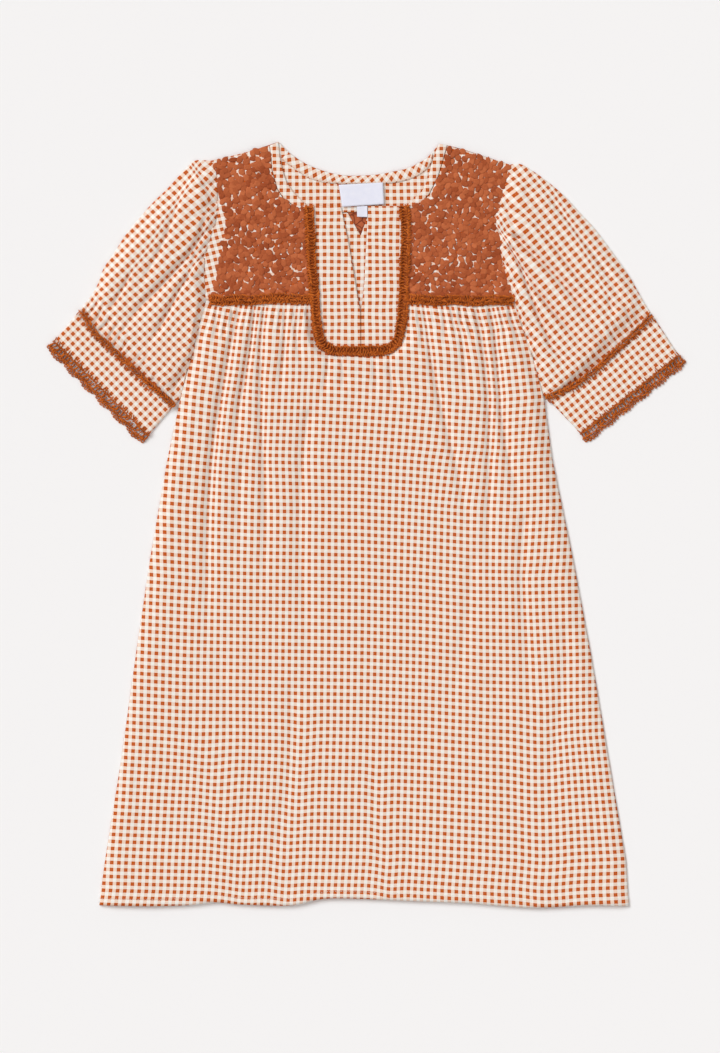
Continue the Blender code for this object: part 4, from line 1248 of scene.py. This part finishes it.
FLOWER_STEP = 24.0
for side, shoulder, outer, inner in (
        ("left", ((-176, 419.5), (-144, 427.4), (-111, 437)), LEFT_WORKED_EDGE, LEFT_YOKE_NECK),
        ("right", ((166.5, 414.5), (130, 426), (94.5, 436.5)), RIGHT_ARMHOLE, RIGHT_YOKE_NECK)):
    share = np.linspace(0, 1, 60)
    ring = np.concatenate([curve(shoulder)(share), curve(inner, False)(share), curve(outer)(share[::-1])])
    centre = ring.mean(axis=0)
    ring = ring + np.clip(centre - ring, -1, 1) * 2.2
    dice = np.random.default_rng(7 if side == "left" else 8)
    spots = petal_places(ring, 4.9, dice)
    flower_x, flower_y = spots[:, 0] / FLOWER_STEP, spots[:, 1] / (FLOWER_STEP * 0.86)
    row = np.round(flower_y)
    column = np.round(flower_x - 0.5 * (row % 2)) + 0.5 * (row % 2)
    from_x, from_y = spots[:, 0] - column * FLOWER_STEP, spots[:, 1] - row * FLOWER_STEP * 0.86
    reach = np.hypot(from_x, from_y)
    angle = np.arctan2(from_y, from_x) + dice.normal(0, 0.3, len(spots)) + np.where(reach > 11, 1.2, 0.0)
    level = yoke_height(spots[:, 0], spots[:, 1], 0, 0)
    places = np.column_stack([spots, level + dice.uniform(0.0, 0.8, len(spots)) - 0.02 * reach])
    turns = np.column_stack([dice.normal(0, 0.09, len(spots)), dice.normal(0, 0.09, len(spots)), angle])
    sizes = np.column_stack([dice.uniform(0.75, 1.05, len(spots)), dice.uniform(0.72, 1.0, len(spots)),
                             dice.uniform(0.8, 1.15, len(spots))])
    work = stood_on(f"embroidery_{side}", places, turns, sizes, petal, 2, embroidery_thread)
    own(work, None, "embroidery")
    print("The", side, "yoke has", len(places), "petals and", len(work.data.polygons), "faces")

# %% [markdown]
# ## Label and sewing
# The woven label and the tab below it are left bare. Fine thread stitches run along the hem and the
# binding, where a sewing machine would have left them.

# %% Label and tab


def tape_piece(name, corners, height, node):
    plan = between(curve(corners[:2], False), curve(corners[2:], False))
    piece = cloth(name, plan, 24, 14, lambda x, y, across, down: height + 0.25 * np.sin(across * 5 + 1),
                  straight_weave(), tape, thick=0.5)
    return own(piece, node, "woven_label")


tape_piece("label", ((-30.8, 391.3), (20.2, 394.1), (-26.7, 366), (21.5, 369.1)), 4.9, "label")
tape_piece("size_tab", ((-9.8, 366.4), (2.1, 367.2), (-9.6, 354.6), (2.3, 354.2)), 4.7, "size_tab")

# %% Sewing thread


def sew(name, points, spacing=3.2):
    return worked(name, points, sewn, spacing, 4, uneven=0.08, finish=sewing_thread)


share = np.linspace(0.004, 0.996, 400)
hem_points = hem(share)
hem_points[:, 1] += HEM_DEPTH - 1
hem_z = front_height(hem_points[:, 0], hem_points[:, 1], share, np.ones(400))
seams = [sew("hem_stitches", np.column_stack([hem_points, hem_z + 0.05]))]
lower = curve(BINDING_FOOT)(np.linspace(0.03, 0.97, 90))
seams.append(sew("binding_stitches", np.column_stack([lower[:, 0], lower[:, 1] + 1.4, np.full(90, 3.95)])))
own(joined("sewing_stitches", seams), None, "gingham")

# %% [markdown]

# %% [markdown]
# ## Floor, light and camera
# The dress lies on a plain pale sheet. A wide soft light above its shoulders and a broad fill keep the
# shadows short and open, and a long lens looks straight down, so that nothing is drawn in perspective.

# %% Stage
picture_centre = (-6.3, -1.2)
picture_height = 1211.0
camera_height = 4200.0
camera = bpy.data.objects.new("camera", bpy.data.cameras.new("camera"))
camera.data.sensor_width = 36
camera.data.lens = 36 * camera_height / picture_height
camera.data.clip_end = 50
camera.location = (picture_centre[0] * MM, picture_centre[1] * MM, camera_height * MM)
bpy.context.scene.collection.objects.link(camera)
bpy.context.scene.camera = camera

floor_mesh = bpy.data.meshes.new("floor")
reach = 6.0
floor_mesh.from_pydata([(-reach, -reach, -0.0002), (reach, -reach, -0.0002), (reach, reach, -0.0002),
                        (-reach, reach, -0.0002)], [], [(0, 1, 2, 3)])
floor = bpy.data.objects.new("floor", floor_mesh)
bpy.context.scene.collection.objects.link(floor)
paper, paper_tree, paper_shader = finish_of("pale_floor", 0.9, 0.0)
paper_shader.inputs["Base Color"].default_value = srgb(244, 244, 245)
floor_mesh.materials.append(paper)

world = bpy.data.worlds.new("studio")
world.use_nodes = True
world.node_tree.nodes["Background"].inputs["Color"].default_value = (1.0, 0.94, 0.90, 1)
world.node_tree.nodes["Background"].inputs["Strength"].default_value = 0.42
bpy.context.scene.world = world
bpy.context.scene.view_settings.view_transform = "Standard"


def soft_light(name, place, angle, strength, colour):
    """A wide, distant lamp that shines from a place towards the middle of the dress."""
    light = bpy.data.lights.new(name, "SUN")
    light.angle = math.radians(angle)
    light.energy = strength
    light.color = colour
    lamp = bpy.data.objects.new(name, light)
    lamp.location = place
    lean = math.atan2(math.hypot(place[0], place[1]), place[2])
    lamp.rotation_euler = (lean, 0, math.atan2(place[0], -place[1]))
    bpy.context.scene.collection.objects.link(lamp)


soft_light("key", (-1.9, 1.4, 2.2), 34, 2.23, (0.98, 1.0, 1.01))
soft_light("fill", (1.6, -1.2, 2.6), 60, 0.45, (1.0, 0.97, 0.94))
